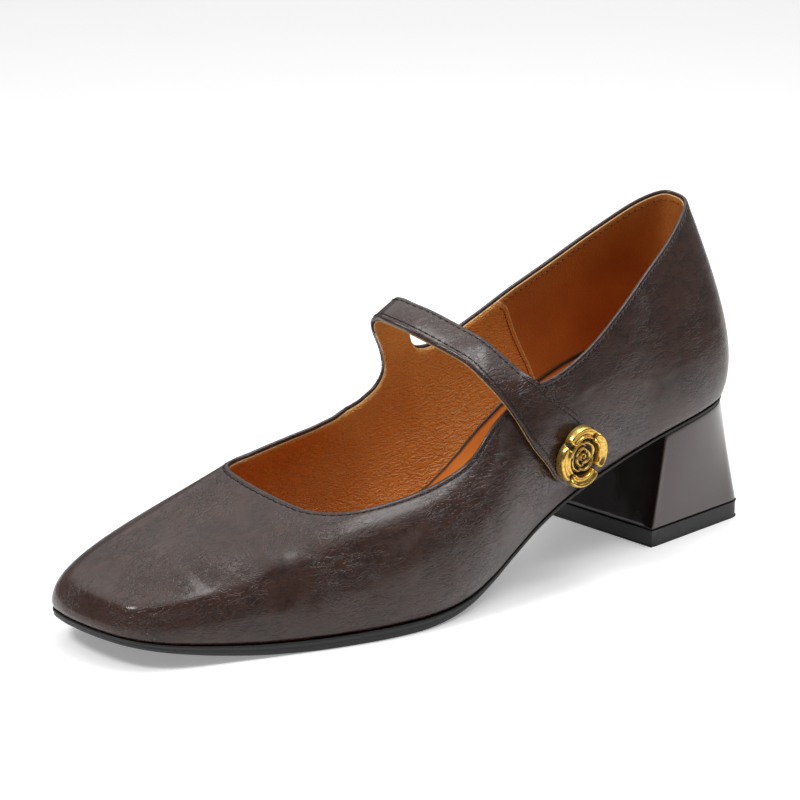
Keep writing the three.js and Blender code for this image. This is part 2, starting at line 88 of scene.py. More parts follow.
# %% [markdown]
# The light of a product table is large and soft. A panel of five metres, high behind the shoe,
# lies as a sheen on the vamp and on the table. A smaller one overhead lights the lining down to
# the sock. One in front, above the toe, draws the gleam on the toe's outer corner, and a weak one
# at the right opens the shadow side.

# %% Light
def panel(name, place, target, width, height, watts):
    """A soft rectangular light."""
    light = bpy.data.lights.new(name, "AREA")
    light.shape, light.size, light.size_y, light.energy = "RECTANGLE", width, height, watts
    holder = bpy.data.objects.new(name, light)
    holder.location = place
    holder.rotation_euler = looking(place, target)
    bpy.context.scene.collection.objects.link(holder)


middle = (0, -0.1, 0.05)
panel("light_sky", (-1.2, 1.1, 2.0), (-1.2, 1.1, 0), 5, 5, 80)
panel("light_over", (0.1, 0.15, 0.95), middle, 0.5, 0.5, 4.5)
panel("light_front", (-0.12, -0.75, 0.82), middle, 0.24, 0.24, 5)
panel("light_right", (0.95, 0.1, 0.5), middle, 0.3, 0.3, 0.25)
world = bpy.data.worlds.new("studio")
world.use_nodes = True
world.node_tree.nodes["Background"].inputs["Color"].default_value = (1, 1, 1, 1)
world.node_tree.nodes["Background"].inputs["Strength"].default_value = 0.2
bpy.context.scene.world = world
print("four panels and a pale room")

# %% [markdown]
# ## Colours and nodes
#
# Colours are picked as they look on a screen, in hex, and one function turns them into the
# linear values that a renderer needs. Another adds one node with its settings and its links, so
# that a finish reads as a list of what it's made of. Patterns are laid in millimetres on the
# object's own coordinates.

# %% Node tools
def linear(code):
    """Linear colour of a hex code as seen on a screen."""
    parts = [int(code[i : i + 2], 16) / 255 for i in (1, 3, 5)]
    return (*[p / 12.92 if p <= 0.04045 else ((p + 0.055) / 1.055) ** 2.4 for p in parts], 1)


def add(finish, kind, links=(), **settings):
    """Adds a node: settings are its own properties, links its sockets' values or sources."""
    node = finish.node_tree.nodes.new("ShaderNode" + kind)
    for name, value in settings.items():
        setattr(node, name, value)
    for socket, value in dict(links).items():
        if isinstance(value, bpy.types.NodeSocket):
            finish.node_tree.links.new(value, node.inputs[socket])
        else:
            node.inputs[socket].default_value = value
    return node


def finish_of(name, colour=None, **sockets):
    """A new finish and its shader, with the shader's plain values set."""
    finish = bpy.data.materials.new(name)
    finish.use_nodes = True
    shader = finish.node_tree.nodes["Principled BSDF"]
    if colour:
        shader.inputs["Base Color"].default_value = linear(colour)
    for socket, value in sockets.items():
        shader.inputs[socket.replace("_", " ")].default_value = value
    return finish, shader


def ramp(finish, factor, stops):
    """Colours, or greys, that follow a factor; stops are (place, hex or grey)."""
    node = add(finish, "ValToRGB", {"Fac": factor})
    elements = node.color_ramp.elements
    while len(elements) < len(stops):
        elements.new(1)
    for element, (place, value) in zip(elements, stops):
        element.position = place
        element.color = linear(value) if isinstance(value, str) else (value, value, value, 1)
    return node.outputs["Color"]


def join(finish, shader, name, source):
    finish.node_tree.links.new(source, shader.inputs[name])


def laid(finish, stretch=(1, 1, 1), turn=(0, 0, 0)):
    """Object coordinates in millimetres, squeezed by stretch and turned."""
    place = add(finish, "TexCoord").outputs["Object"]
    scale = [1000 * s for s in stretch]
    return add(finish, "Mapping", {"Vector": place, "Scale": scale, "Rotation": turn}).outputs[0]


print("node tools ready")

# %% [markdown]
# Nearly every finish needs the same four things: soft clouds of a size in millimetres, a relief
# that tilts the light, a mark that the points of a piece carry, and a blend of two colours.

# %% Pattern tools
def cloud(finish, size, detail=2.0, where=None, distortion=0.0):
    """Soft noise whose clouds are a size in mm."""
    where = laid(finish) if where is None else where
    return add(finish, "TexNoise", {"Vector": where, "Scale": 1 / size, "Detail": detail,
                                    "Distortion": distortion}).outputs["Fac"]


def press(finish, shader, height, strength, depth):
    """Lets a height, of a depth in metres, tilt the light."""
    bump = add(finish, "Bump", {"Height": height, "Strength": strength, "Distance": depth})
    join(finish, shader, "Normal", bump.outputs[0])


def mark(finish, name):
    return add(finish, "Attribute", attribute_name=name).outputs["Fac"]


def blend(finish, amount, first, second):
    return add(finish, "MixRGB", {"Fac": amount, "Color1": first, "Color2": second}).outputs[0]


def calc(finish, kind, a, b):
    return add(finish, "Math", {0: a, 1: b}, operation=kind).outputs[0]


def between(finish, value, low, high, least=0.0):
    """Least at low, 1 at high, and held beyond both."""
    return add(finish, "MapRange", {"Value": value, "From Min": low, "From Max": high,
                                    "To Min": least}).outputs[0]


print("pattern tools ready")

# %% [markdown]
# The floor is a pale acrylic sheet, slightly glossy, so the sole leaves a soft shadow and a trace
# of a mirror image. It glows a little, as a table lit from below does, which keeps it white.

# %% Floor
floor_finish, shader = finish_of("white_acrylic_table", "#f4f4f4", Roughness=0.32)
shader.inputs["Emission Color"].default_value = (1, 1, 1, 1)
shader.inputs["Emission Strength"].default_value = 0.27
bm = bmesh.new()
bmesh.ops.create_grid(bm, x_segments=1, y_segments=1, size=6)
mesh = bpy.data.meshes.new("floor")
bm.to_mesh(mesh)
bm.free()
floor = bpy.data.objects.new("floor", mesh)
floor.data.materials.append(floor_finish)
bpy.context.scene.collection.objects.link(floor)
print("floor", floor.dimensions.x, "m wide")

# %% [markdown]
# ## The last
#
# A shoe gets its shape from a last, and its upper is drawn as sections round the foot, like the
# ribs of a boat. The tables give, for each section, the point on the lower edge, the point on
# the top edge and the two handles of the curve between them. They are the same tables that
# shaped the solids, so leather laid on this surface fits them. Everything is worked out for
# whole arrays of points at once, because a sheet of leather has tens of thousands of them.

# %% Tables of the last
# along, heel, spring, edge, lip
bottom_rows = np.array([
    (0, 1, 0, 0.3, 0.1),
    (0.094, 0.926, 0, 0.3, 0.1),
    (0.176, 0.837, 0, 0.3, 0.1),
    (0.262, 0.678, 0, 0.36, 0.15),
    (0.348, 0.488, 0, 0.46, 0.25),
    (0.402, 0.347, 0, 0.5, 0.3),
    (0.459, 0.191, 0, 0.52, 0.4),
    (0.504, 0.094, 0, 0.58, 0.55),
    (0.553, 0.03, 0, 0.7, 0.75),
    (0.607, 0.004, 0, 0.88, 0.9),
    (0.652, 0, 0, 1, 1),
    (0.77, 0, 0, 1, 1),
    (0.832, 0, 0.076, 0.96, 0.9),
    (0.893, 0, 0.303, 0.86, 0.7),
    (0.947, 0, 0.606, 0.72, 0.4),
    (1.01, 0, 1.04, 0.56, 0.15),
])
# foot along, foot out, rim along, rim out, rim up, low handle (3), high handle (3)
sections = np.array([
    (0, 0, 0.037, -0.026, 1.003, -0.023, 0, 0.242, -0.035, 0, -0.379),
    (0.012, 0.167, 0.047, 0.058, 0.987, -0.02, 0.058, 0.242, -0.033, 0.083, -0.379),
    (0.047, 0.288, 0.08, 0.122, 0.944, -0.012, 0.077, 0.242, -0.02, 0.122, -0.379),
    (0.102, 0.337, 0.131, 0.186, 0.873, 0, 0.064, 0.242, 0, 0.115, -0.364),
    (0.176, 0.341, 0.195, 0.244, 0.807, 0, 0.058, 0.227, 0, 0.09, -0.348),
    (0.25, 0.314, 0.258, 0.291, 0.753, 0, 0.071, 0.227, 0, 0.077, -0.318),
    (0.32, 0.295, 0.32, 0.315, 0.701, 0, 0.094, 0.227, 0, 0.064, -0.273),
    (0.389, 0.292, 0.381, 0.328, 0.704, 0, 0.105, 0.212, 0, 0.059, -0.242),
    (0.455, 0.318, 0.439, 0.333, 0.758, 0, 0.115, 0.197, 0, 0.067, -0.242),
    (0.516, 0.365, 0.49, 0.321, 0.728, 0, 0.103, 0.182, 0, 0.109, -0.212),
    (0.574, 0.41, 0.533, 0.312, 0.616, 0, 0.071, 0.167, 0, 0.128, -0.121),
    (0.631, 0.423, 0.578, 0.303, 0.57, 0, 0.045, 0.167, 0.008, 0.141, -0.076),
    (0.689, 0.397, 0.623, 0.286, 0.541, 0.004, 0.038, 0.167, 0.016, 0.141, -0.061),
    (0.746, 0.344, 0.662, 0.256, 0.518, 0.006, 0.032, 0.167, 0.033, 0.128, -0.061),
    (0.803, 0.276, 0.695, 0.212, 0.5, 0.006, 0.032, 0.167, 0.049, 0.103, -0.061),
    (0.859, 0.205, 0.717, 0.147, 0.491, 0.006, 0.032, 0.174, 0.066, 0.077, -0.061),
    (0.91, 0.141, 0.732, 0.071, 0.495, 0.006, 0.032, 0.182, 0.082, 0.051, -0.091),
    (0.953, 0.077, 0.74, -0.013, 0.511, 0.008, 0.026, 0.189, 0.098, 0.038, -0.121),
    (0.982, -0.013, 0.745, -0.096, 0.529, 0.012, 0.019, 0.197, 0.111, 0.026, -0.152),
    (0.995, -0.122, 0.748, -0.16, 0.544, 0.012, 0.006, 0.197, 0.115, 0.013, -0.167),
    (1, -0.237, 0.75, -0.218, 0.558, 0.012, 0, 0.195, 0.115, 0, -0.188),
    (0.999, -0.353, 0.75, -0.276, 0.571, 0.012, -0.006, 0.2, 0.117, -0.019, -0.198),
    (0.989, -0.462, 0.748, -0.333, 0.583, 0.012, -0.023, 0.211, 0.115, -0.062, -0.185),
    (0.963, -0.531, 0.74, -0.378, 0.595, 0.008, -0.036, 0.219, 0.102, -0.092, -0.184),
    (0.914, -0.559, 0.723, -0.397, 0.602, 0.004, -0.041, 0.224, 0.076, -0.109, -0.168),
    (0.861, -0.568, 0.697, -0.401, 0.612, 0.002, -0.041, 0.226, 0.051, -0.115, -0.147),
    (0.803, -0.574, 0.664, -0.401, 0.63, 0.002, -0.041, 0.222, 0.033, -0.122, -0.128),
    (0.746, -0.571, 0.627, -0.397, 0.65, 0, -0.045, 0.22, 0.016, -0.122, -0.136),
    (0.693, -0.549, 0.588, -0.392, 0.669, 0, -0.051, 0.227, 0.008, -0.115, -0.152),
    (0.639, -0.5, 0.562, -0.384, 0.698, 0, -0.064, 0.212, -0.003, -0.092, -0.186),
    (0.594, -0.442, 0.552, -0.366, 0.775, 0, -0.079, 0.212, -0.012, -0.086, -0.212),
    (0.561, -0.396, 0.55, -0.341, 0.9, 0, -0.09, 0.227, -0.03, -0.082, -0.25),
    (0.535, -0.362, 0.55, -0.319, 1.015, 0, -0.098, 0.242, -0.054, -0.077, -0.285),
    (0.512, -0.336, 0.55, -0.304, 1.09, 0, -0.104, 0.25, -0.08, -0.074, -0.305),
    (0.494, -0.318, 0.546, -0.297, 1.125, 0, -0.109, 0.256, -0.098, -0.072, -0.315),
    (0.48, -0.305, 0.537, -0.294, 1.14, 0, -0.113, 0.258, -0.104, -0.072, -0.32),
    (0.466, -0.295, 0.521, -0.292, 1.145, 0, -0.115, 0.258, -0.095, -0.073, -0.322),
    (0.452, -0.286, 0.501, -0.291, 1.135, 0, -0.115, 0.258, -0.073, -0.074, -0.32),
    (0.439, -0.281, 0.48, -0.294, 1.115, 0, -0.113, 0.258, -0.049, -0.072, -0.315),
    (0.426, -0.274, 0.461, -0.306, 1.03, 0, -0.11, 0.242, -0.028, -0.068, -0.302),
    (0.404, -0.267, 0.437, -0.327, 0.9, 0, -0.106, 0.227, -0.012, -0.06, -0.282),
    (0.369, -0.26, 0.395, -0.344, 0.768, 0, -0.102, 0.227, -0.002, -0.05, -0.268),
    (0.316, -0.263, 0.336, -0.337, 0.748, 0, -0.095, 0.227, 0, -0.046, -0.284),
    (0.25, -0.286, 0.268, -0.314, 0.773, 0, -0.077, 0.227, 0, -0.058, -0.303),
    (0.176, -0.327, 0.197, -0.282, 0.809, 0, -0.058, 0.227, 0, -0.077, -0.348),
    (0.102, -0.337, 0.129, -0.237, 0.884, 0, -0.058, 0.242, 0, -0.103, -0.364),
    (0.047, -0.288, 0.076, -0.16, 0.975, -0.012, -0.071, 0.242, -0.02, -0.109, -0.379),
    (0.012, -0.167, 0.045, -0.096, 1.01, -0.02, -0.058, 0.242, -0.033, -0.077, -0.379),
])
# turn, the section its rim lies on, the share that is left
ear_rows = np.array([
    (27, 27, 1),
    (28, 28, 1),
    (28.5, 28.6, 0.99),
    (29, 29.2, 0.959),
    (29.5, 29.9, 0.889),
    (30, 30.6, 0.81),
    (30.5, 31.35, 0.747),
    (31, 32.1, 0.712),
    (31.5, 32.85, 0.705),
    (32, 33.6, 0.72),
    (33, 34.4, 0.775),
    (34, 34.62, 0.847),
    (35, 34.84, 0.941),
    (35.5, 35.7, 0.947),
    (36, 36.56, 0.965),
    (36.5, 37.32, 0.979),
    (37, 38.08, 1.011),
    (38, 38.25, 0.917),
    (39, 38.9, 0.858),
    (40, 40.03, 0.908),
    (41, 41.02, 0.979),
    (42, 42, 0.995),
    (43, 43, 1),
])
print(len(sections), "sections")

# %% [markdown]
# A draughtsman joins such points with a flexible strip. The same is done here by a cubic whose
# slopes are chosen so that it never overshoots a point, and with it the height of the lower edge
# and of the sole's underside can be read anywhere along the shoe.

# %% Curves through the tables
def hermite(s, a, b, m, n):
    """Cubic from a to b with slopes m and n."""
    return a + s * (m + s * (3 * (b - a) - 2 * m - n + s * (2 * (a - b) + m + n)))


def smooth_at(rows, column, x, key=0):
    """Smooth curve through one column of the rows, without overshoot."""
    places, values = rows[:, key], rows[:, column]
    x = np.clip(x, places[0], places[-1])
    step = np.diff(places)
    rise = np.diff(values) / step
    product = rise[:-1] * rise[1:]
    total = np.where(product > 0, rise[:-1] + rise[1:], 1.0)
    inner = np.where(product > 0, 2 * product / total, 0.0)
    slope = np.concatenate([[rise[0]], inner, [rise[-1]]])
    i = np.clip(np.searchsorted(places, x, side="right") - 1, 0, len(places) - 2)
    s = (x - places[i]) / step[i]
    return hermite(s, values[i], values[i + 1], slope[i] * step[i], slope[i + 1] * step[i])


def edge_up(along):
    """Height of the upper's lower edge."""
    heel, spring = smooth_at(bottom_rows, 1, along), smooth_at(bottom_rows, 2, along)
    return SOLE_EDGE + heel * (HEEL - SOLE_EDGE) + spring * SPRING


def underside_up(along):
    """Height of the sole's underside."""
    return edge_up(along) - SOLE_EDGE * smooth_at(bottom_rows, 3, along)


print("underside at the ball, mm:", underside_up(np.array([0.7])).round(2))

# %% [markdown]
# A place on the upper has two numbers. The turn goes round the foot from the middle of the back,
# along the outer side to the toe at 20 and home along the inner side at 48. The share goes up from
# the lower edge at 0 to the top edge at 1. At the ear the sections lean, so that the rows of
# points follow its outline.

# %% The outer face of the upper
def section_at(turn, column):
    """One column of the sections, smooth all the way round."""
    i = np.floor(turn).astype(int)
    value = lambda k: sections[k % len(sections), column]
    slope = lambda k: (value(k + 1) - value(k - 1)) / 2
    return hermite(turn - i, value(i), value(i + 1), slope(i), slope(i + 1))


def place(along, out, up):
    """A point in mm from shares of the length and width, and a height."""
    return np.stack(np.broadcast_arrays(out * WIDTH, SEAT - along * LENGTH, up), -1)


def foot_point(turn):
    along = section_at(turn, 0)
    return place(along, section_at(turn, 1), edge_up(along))


def section_point(turn, share):
    """A section's curve from the lower edge (0) to its top (1)."""
    handle = lambda c: np.stack(
        [section_at(turn, c + 1) * WIDTH, -section_at(turn, c) * LENGTH,
         section_at(turn, c + 2) * BACK], -1)
    along = section_at(turn, 2)
    foot = foot_point(turn)
    rim = place(along, section_at(turn, 3), edge_up(along) + section_at(turn, 4) * BACK)
    low, high = foot + handle(5), rim + handle(8)
    s = share[..., None]
    return foot * (1 - s) ** 3 + 3 * low * (1 - s) ** 2 * s + 3 * high * (1 - s) * s**2 + rim * s**3


def ear_at(column, turn):
    """One column of the ear's table: smooth, but straight along the ear's top."""
    top = (turn > 35) & (turn < 37)
    straight = np.interp(turn, ear_rows[:, 0], ear_rows[:, column])
    return np.where(top, straight, smooth_at(ear_rows, column, turn))


def on_sections(turn, v):
    """The section and the share of it at v, from the lower edge (0) to the rim (1)."""
    turn, v = np.broadcast_arrays(np.asarray(turn, float), np.asarray(v, float))
    t = turn % len(sections)
    ear = (t > ear_rows[0, 0]) & (t < ear_rows[-1, 0])
    shift = (ear_at(1, t) - t) * np.maximum(v, 0) ** 1.5
    return np.where(ear, t + shift, t), np.where(ear, ear_at(2, t) * v, v)


def unit(vectors):
    return vectors / np.linalg.norm(vectors, axis=-1, keepdims=True)


def outer_face(turn, v):
    return section_point(*on_sections(turn, v))


def upwards(turn, v):
    t, s = on_sections(turn, v)
    return unit(section_point(t, s + 0.01) - section_point(t, s - 0.01))


def outwards(turn, v):
    """Direction out of the shoe, square to the upper."""
    t, s = on_sections(turn, v)
    return unit(np.cross(upwards(turn, v), section_point(t + 0.01, s) - section_point(t - 0.01, s)))


def off_face(turn, v, distance):
    return outer_face(turn, v) + outwards(turn, v) * np.asarray(distance)[..., None]


def rim_speed(turn):
    """Millimetres that the face runs, per share of its height, just under the rim."""
    turn = np.asarray(turn, float)
    return np.linalg.norm(outer_face(turn, 1.0) - outer_face(turn, 0.95), axis=-1) / 0.05


print("toe tip at", outer_face(20.0, 0.0).round(1), "mm")


# %% [markdown]
# ## How each piece is made
#
# Leather starts flat, so each soft piece here starts as a flat grid, made with one operator, and
# is then bent over the last by moving its points. Where two borders meet, at the back seam or
# round a rim, the doubled points are merged, which closes the piece; a last open end is filled.
# Marks such as the distance to a lap stay on the points, so that a finish can follow the surface.

# %% Sheets and pieces
MERGE = 0.00002  # m, under the finest spacing of the rows


def sheet(bm, across, up, shape, marks=()):
    """Adds a flat grid, across by up faces, and bends it: shape takes two arrays of 0..1."""
    layers = {name: bm.verts.layers.float.get(name) or bm.verts.layers.float.new(name)
              for name in marks}
    made = bmesh.ops.create_grid(bm, x_segments=across, y_segments=up, size=0.5)["verts"]
    u = np.array([vert.co.x for vert in made]) + 0.5
    v = np.array([vert.co.y for vert in made]) + 0.5
    points, values = shape(u, v)
    for vert, point in zip(made, points * MM):
        vert.co = point
    for name in marks:
        for vert, value in zip(made, values[name]):
            vert[layers[name]] = value


def close_ends(bm):
    """Merges doubled points and fills what is still open."""
    bmesh.ops.remove_doubles(bm, verts=bm.verts, dist=MERGE)
    bmesh.ops.holes_fill(bm, edges=[e for e in bm.edges if e.is_boundary], sides=0)


def piece(name, bm, finishes, stands_for=()):
    """Closes a piece, gives it its finish and lets it ride on the shoe."""
    bmesh.ops.remove_doubles(bm, verts=bm.verts, dist=MERGE)
    bmesh.ops.recalc_face_normals(bm, faces=bm.faces)
    mesh = bpy.data.meshes.new(name)
    bm.to_mesh(mesh)
    bm.free()
    mesh.shade_smooth()
    for finish in finishes:
        mesh.materials.append(finish)
    made = bpy.data.objects.new(name, mesh)
    bpy.context.scene.collection.objects.link(made)
    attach(made, "root")
    if stands_for:
        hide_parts(*stands_for)
    print(name, len(mesh.polygons), "faces")
    return made


print("points closer than", MERGE, "m are merged")

# %% [markdown]
# ## Leather of the upper
#
# The upper is a smooth brown leather with a polyurethane film: the film gives an even satin
# gloss and wrinkles finely where it was pulled over the last, most at the ball of the foot and
# along the vamp, hardly at the back. The colour is nearly even; it is painted darker in the
# furrows, a painted shade, and lighter on the swells, a painted sheen. Two nets of fine furrows,
# from clouds of 2.2 and 3.2 mm, are squeezed so that they run along the foot, and patches of
# 20 mm let them come and go. They fade towards the back, and a swell of 11 mm under them breaks
# the gloss as a hand-pulled leather does.

# %% Film-coated leather
FRONT, REAR = -80, 20  # mm along the shoe, between which the wrinkles fade
WRINKLE = 0.7


def furrows(finish, turn, size, wander):
    """Thin lines that wander: 0 along each furrow, 1 between them."""
    where = laid(finish, (1.0, 0.42, 1.1), turn)
    return ramp(finish, cloud(finish, size, 2.0, where, wander),
                [(0.44, 1.0), (0.5, 0.0), (0.56, 1.0)])


def coated_leather(name, gloss):
    """Polyurethane-coated split leather: satin film, fine wrinkles, painted sheen and shade."""
    finish, shader = finish_of(name, IOR=1.45, Specular_IOR_Level=0.33, Coat_Weight=0.36,
                               Coat_Roughness=0.17)
    times = lambda a, b: calc(finish, "MULTIPLY", a, b)
    plus = lambda a, b: calc(finish, "ADD", a, b)
    swell = cloud(finish, 11, 1.0, laid(finish, (1.0, 0.7, 1.2), (0.4, 0.2, 0.5)), 0.8)
    along = add(finish, "SeparateXYZ", {0: laid(finish)}).outputs["Y"]
    patches = ramp(finish, cloud(finish, 20), [(0.4, 0.2), (0.6, 1.0)])
    wrinkles = plus(furrows(finish, (0.5, 0.2, 0.7), 2.2, 0.7),
                    furrows(finish, (0.2, -0.5, -0.6), 3.2, 1.0))
    fine = times(wrinkles, times(patches, between(finish, along, REAR, FRONT, 0.35)))
    # the pores of the film, really about 0.3 mm, are drawn at 0.7 mm so that they show
    small = plus(times(fine, 0.19), times(cloud(finish, 0.7, 1.0), 0.04))
    press(finish, shader, plus(small, times(swell, 0.9)), WRINKLE, 0.001)
    # the colour follows the relief: painted shade in the furrows, painted sheen on the swells
    shade = plus(times(swell, 0.6), times(wrinkles, 0.2))
    join(finish, shader, "Base Color", ramp(finish, shade, [(0.3, "#1b0e0a"), (0.75, "#37211a")]))
    join(finish, shader, "Roughness", ramp(finish, fine, [(0.3, gloss + 0.06), (1.0, gloss)]))
    return finish


upper_finish = coated_leather("polyurethane_coated_leather", 0.32)
strap_finish = coated_leather("glossy_coated_leather", 0.24)
print(upper_finish.name, "and", strap_finish.name)

# %% [markdown]
# ## The leather upper
#
# The creases are listed one by one, because they tell how this shoe was pulled over its last:
# each is a short line on the surface with a depth and a width, and the leather sinks or rises
# softly along it. The two ridges at the toe are the edges of the last, felt through the leather.

# %% Creases, listed one by one
# points as (turn, share of height), then depth in mm (below 0 is a ridge) and width in mm
creases = [
    ([(14.7, 0.62), (14.05, 0.4), (13.75, 0.2)], 0.55, 2.6),
    ([(15.35, 0.53), (14.8, 0.41), (14.35, 0.31)], 0.6, 3.2),
    ([(18.25, 0.59), (17.1, 0.5), (16.4, 0.41)], 0.4, 3.0),
    ([(13.2, 0.55), (12.7, 0.37), (12.4, 0.21)], 0.5, 2.8),
    ([(11.55, 0.64), (11.15, 0.42), (10.8, 0.24)], 0.45, 3.0),
    ([(9.95, 0.81), (9.6, 0.52), (9.1, 0.27)], 0.4, 3.0),
    ([(6.35, 0.76), (5.95, 0.58), (5.3, 0.33)], 0.4, 3.2),
    ([(4.6, 0.74), (4.35, 0.5), (4.3, 0.31)], 0.35, 3.4),
    ([(12.4, 0.68), (13.6, 0.6), (14.9, 0.68)], 0.35, 2.6),
    ([(13.7, 0.5), (13.35, 0.34), (13.1, 0.22)], -0.4, 2.4),
    ([(15.9, 0.62), (15.2, 0.6), (14.2, 0.5)], -0.4, 3.2),
    ([(12.2, 0.6), (11.9, 0.42), (11.6, 0.26)], -0.35, 3.0),
    ([(22.1, 0.26), (20.55, 0.26), (19.45, 0.25), (18.5, 0.24), (17.85, 0.25)], -0.9, 3.0),
    ([(18.7, 0.21), (17.85, 0.24), (17.25, 0.29), (16.75, 0.34), (16.1, 0.4)], -1.5, 3.0),
    ([(21.5, 0.42), (19.8, 0.42), (18.3, 0.4), (17.3, 0.44)], 0.45, 4.5),
    ([(25.0, 0.62), (25.8, 0.5), (26.4, 0.32)], 0.45, 3.0),
    ([(26.6, 0.62), (27.3, 0.45), (27.8, 0.28)], 0.5, 3.0),
    ([(28.4, 0.6), (28.9, 0.42), (29.2, 0.26)], 0.4, 3.0),
    ([(26.0, 0.56), (26.8, 0.42), (27.2, 0.3)], -0.35, 3.0),
    ([(43.6, 0.7), (43.9, 0.5), (44.0, 0.3)], 0.35, 3.4),
]


def creased(points):
    """How far leather at these points sinks, in mm."""
    sink = np.zeros(len(points))
    for line, depth, width in creases:
        line = np.array(line)
        s = np.linspace(0, len(line) - 1, 13)
        turns = np.interp(s, range(len(line)), line[:, 0])
        heights = np.interp(s, range(len(line)), line[:, 1])
        path = outer_face(turns, heights)
        reach = np.full(len(points), 1e9)
        fade = np.zeros(len(points))
        for a, b, k in zip(path[:-1], path[1:], range(12)):
            t = np.clip(((points - a) @ (b - a)) / ((b - a) @ (b - a)), 0, 1)
            far = np.linalg.norm(points - a - t[:, None] * (b - a), axis=1)
            closer = far < reach
            reach = np.where(closer, far, reach)
            fade = np.where(closer, np.sin(np.pi * (k + t + 0.5) / 13), fade)
        sink += depth * fade * np.exp(-((reach / width) ** 2))
    return sink


print(len(creases), "creases")

# %% [markdown]
# One grid makes the whole upper. Its rows run up the outer face, roll over the top edge with a
# radius of 0.65 mm, as a turned edge does, and go down again behind, where the lining hides
# them. A shallow furrow runs where the stitches pull the edge down.

# %% The upper, cut, creased and folded
STITCH_DOWN, EDGE_BAND, ROUND = 1.9, 5.6, 720
face_rows = [(s, -1, 0.0) for s in np.linspace(0, 1, 60)]
edge_rows = [(1, mm, 0.0) for mm in (5.0, 4.4, 3.8, 3.3, 2.9, 2.6, 2.3, 2.1, 1.9, 1.7, 1.5, 1.2,
                                      0.95)]
roll_rows = [(1, FOLD * (1 - math.sin(a)), FOLD * (math.cos(a) - 1))
             for a in np.radians([15, 40, 65, 90, 115, 140, 165, 180])]
back_rows = [(1, 1.4, -LEATHER), (1, EDGE_BAND, -LEATHER)]
back_rows += [(s, -1, -LEATHER) for s in (0.8, 0.6, 0.4, 0.2, 0.0)]
leather_rows = np.array([(0, -1, -LEATHER)] + face_rows + edge_rows + roll_rows + back_rows)


def height_on(turn, rows):
    """Share of the height: given as a share of the face under the edge band, or in mm down."""
    speed = rim_speed(turn)
    return np.where(rows[:, 1] >= 0, 1 - rows[:, 1] / speed, rows[:, 0] * (1 - EDGE_BAND / speed))


def leather_shape(u, v):
    turn = u * len(sections)
    rows = leather_rows[np.rint(v * (len(leather_rows) - 1)).astype(int)]
    height = height_on(turn, rows)
    face = outer_face(turn, height)
    below = np.where(rows[:, 1] >= 0, rows[:, 1], EDGE_BAND)
    rise = np.linalg.norm(face - outer_face(turn, 0.0), axis=1)
    fade = np.clip((below - 2.2) / 2.5, 0, 1)
    sink = creased(face) * fade
    sink += 0.2 * np.exp(-(((below - STITCH_DOWN) / 0.4) ** 2))
    sink -= 0.07 * np.exp(-(((below - 1.1) / 0.45) ** 2))
    sink += 0.55 * np.exp(-((rise / 0.7) ** 2))
    out = rows[:, 2] - np.where(rows[:, 2] > -0.02, sink, 0)
    return face + outwards(turn, height) * out[:, None], {}


bm = bmesh.new()
sheet(bm, ROUND, len(leather_rows) - 1, leather_shape)
upper_leather = piece("upper_leather", bm, [upper_finish], ["upper"])

# %% [markdown]
# ## Lining
#
# Inside, the shoe has two linings. The quarter's, round the heel, is a smooth suede-like sheet
# that reddens in the shade. The vamp's, a grained tan one, laps over it with a raw cream edge and
# one row of stitches. Both are one grid here, bent 2 mm inside the leather; a mark on its points
# gives the distance to the lap, so that the finish changes exactly there and the step is real.

# %% Where the vamp lining laps over the quarter
ROUND_SPEED = 15.5  # mm that one turn covers at the lap
lap_v = np.array([0.0, 0.27, 0.42, 0.57, 0.8, 0.9, 1.0])
lap_turns = {"inner": np.array([43.6, 43.5, 43.4, 43.25, 43.0, 42.88, 42.6]),
             "outer": np.array([4.4, 4.5, 4.6, 4.75, 5.0, 5.1, 5.3])}


def behind_lap(turn, v):
    """Millimetres behind the lap, below 0 on the vamp lining."""
    inner = np.interp(v, lap_v, lap_turns["inner"])
    outer = np.interp(v, lap_v, lap_turns["outer"])
    t = turn % len(sections)
    return np.where(t > 20, t - inner, outer - t) * ROUND_SPEED


lining_rows = [(1, 0.95, -1.36), (1, 0.92, -1.5), (1, 0.95, -1.68), (1, 1.1, -1.78),
               (1, 1.6, -1.92), (1, 2.2, -2.02), (1, 3.0, -2.1), (1, 4.2, -2.1)]
lining_rows += [(s, -1, -2.1) for s in np.linspace(1, 0.0, 36)]
lining_rows += [(s, -1, -1.36) for s in (0.0, 0.35, 0.7, 1.0)] + [(1, 0.95, -1.36)]
lining_rows = np.array(lining_rows)


def lining_shape(u, v):
    turn = u * len(sections)
    rows = lining_rows[np.rint(v * (len(lining_rows) - 1)).astype(int)]
    height = height_on(turn, rows)
    behind = behind_lap(turn, height)
    showing = rows[:, 2] < -1.9
    step = np.where(showing, 0.35 / (1 + np.exp(np.clip(behind / 0.18, -30, 30))), 0)
    out = rows[:, 2] - step
    raw = ((rows[:, 1] > 0) & (rows[:, 1] < 1.05)).astype(float)
    return off_face(turn, height, out), {"behind_lap": behind, "raw_edge": raw}


print("lap from", lap_turns["outer"][0], "to", lap_turns["outer"][-1], "on the outer side")

# %% [markdown]
# The vamp lining is tan with a pressed grain that runs along the foot. The quarter lining has a
# short nap and hardly shines. Their cut edges are left raw: cream, where the backing shows.

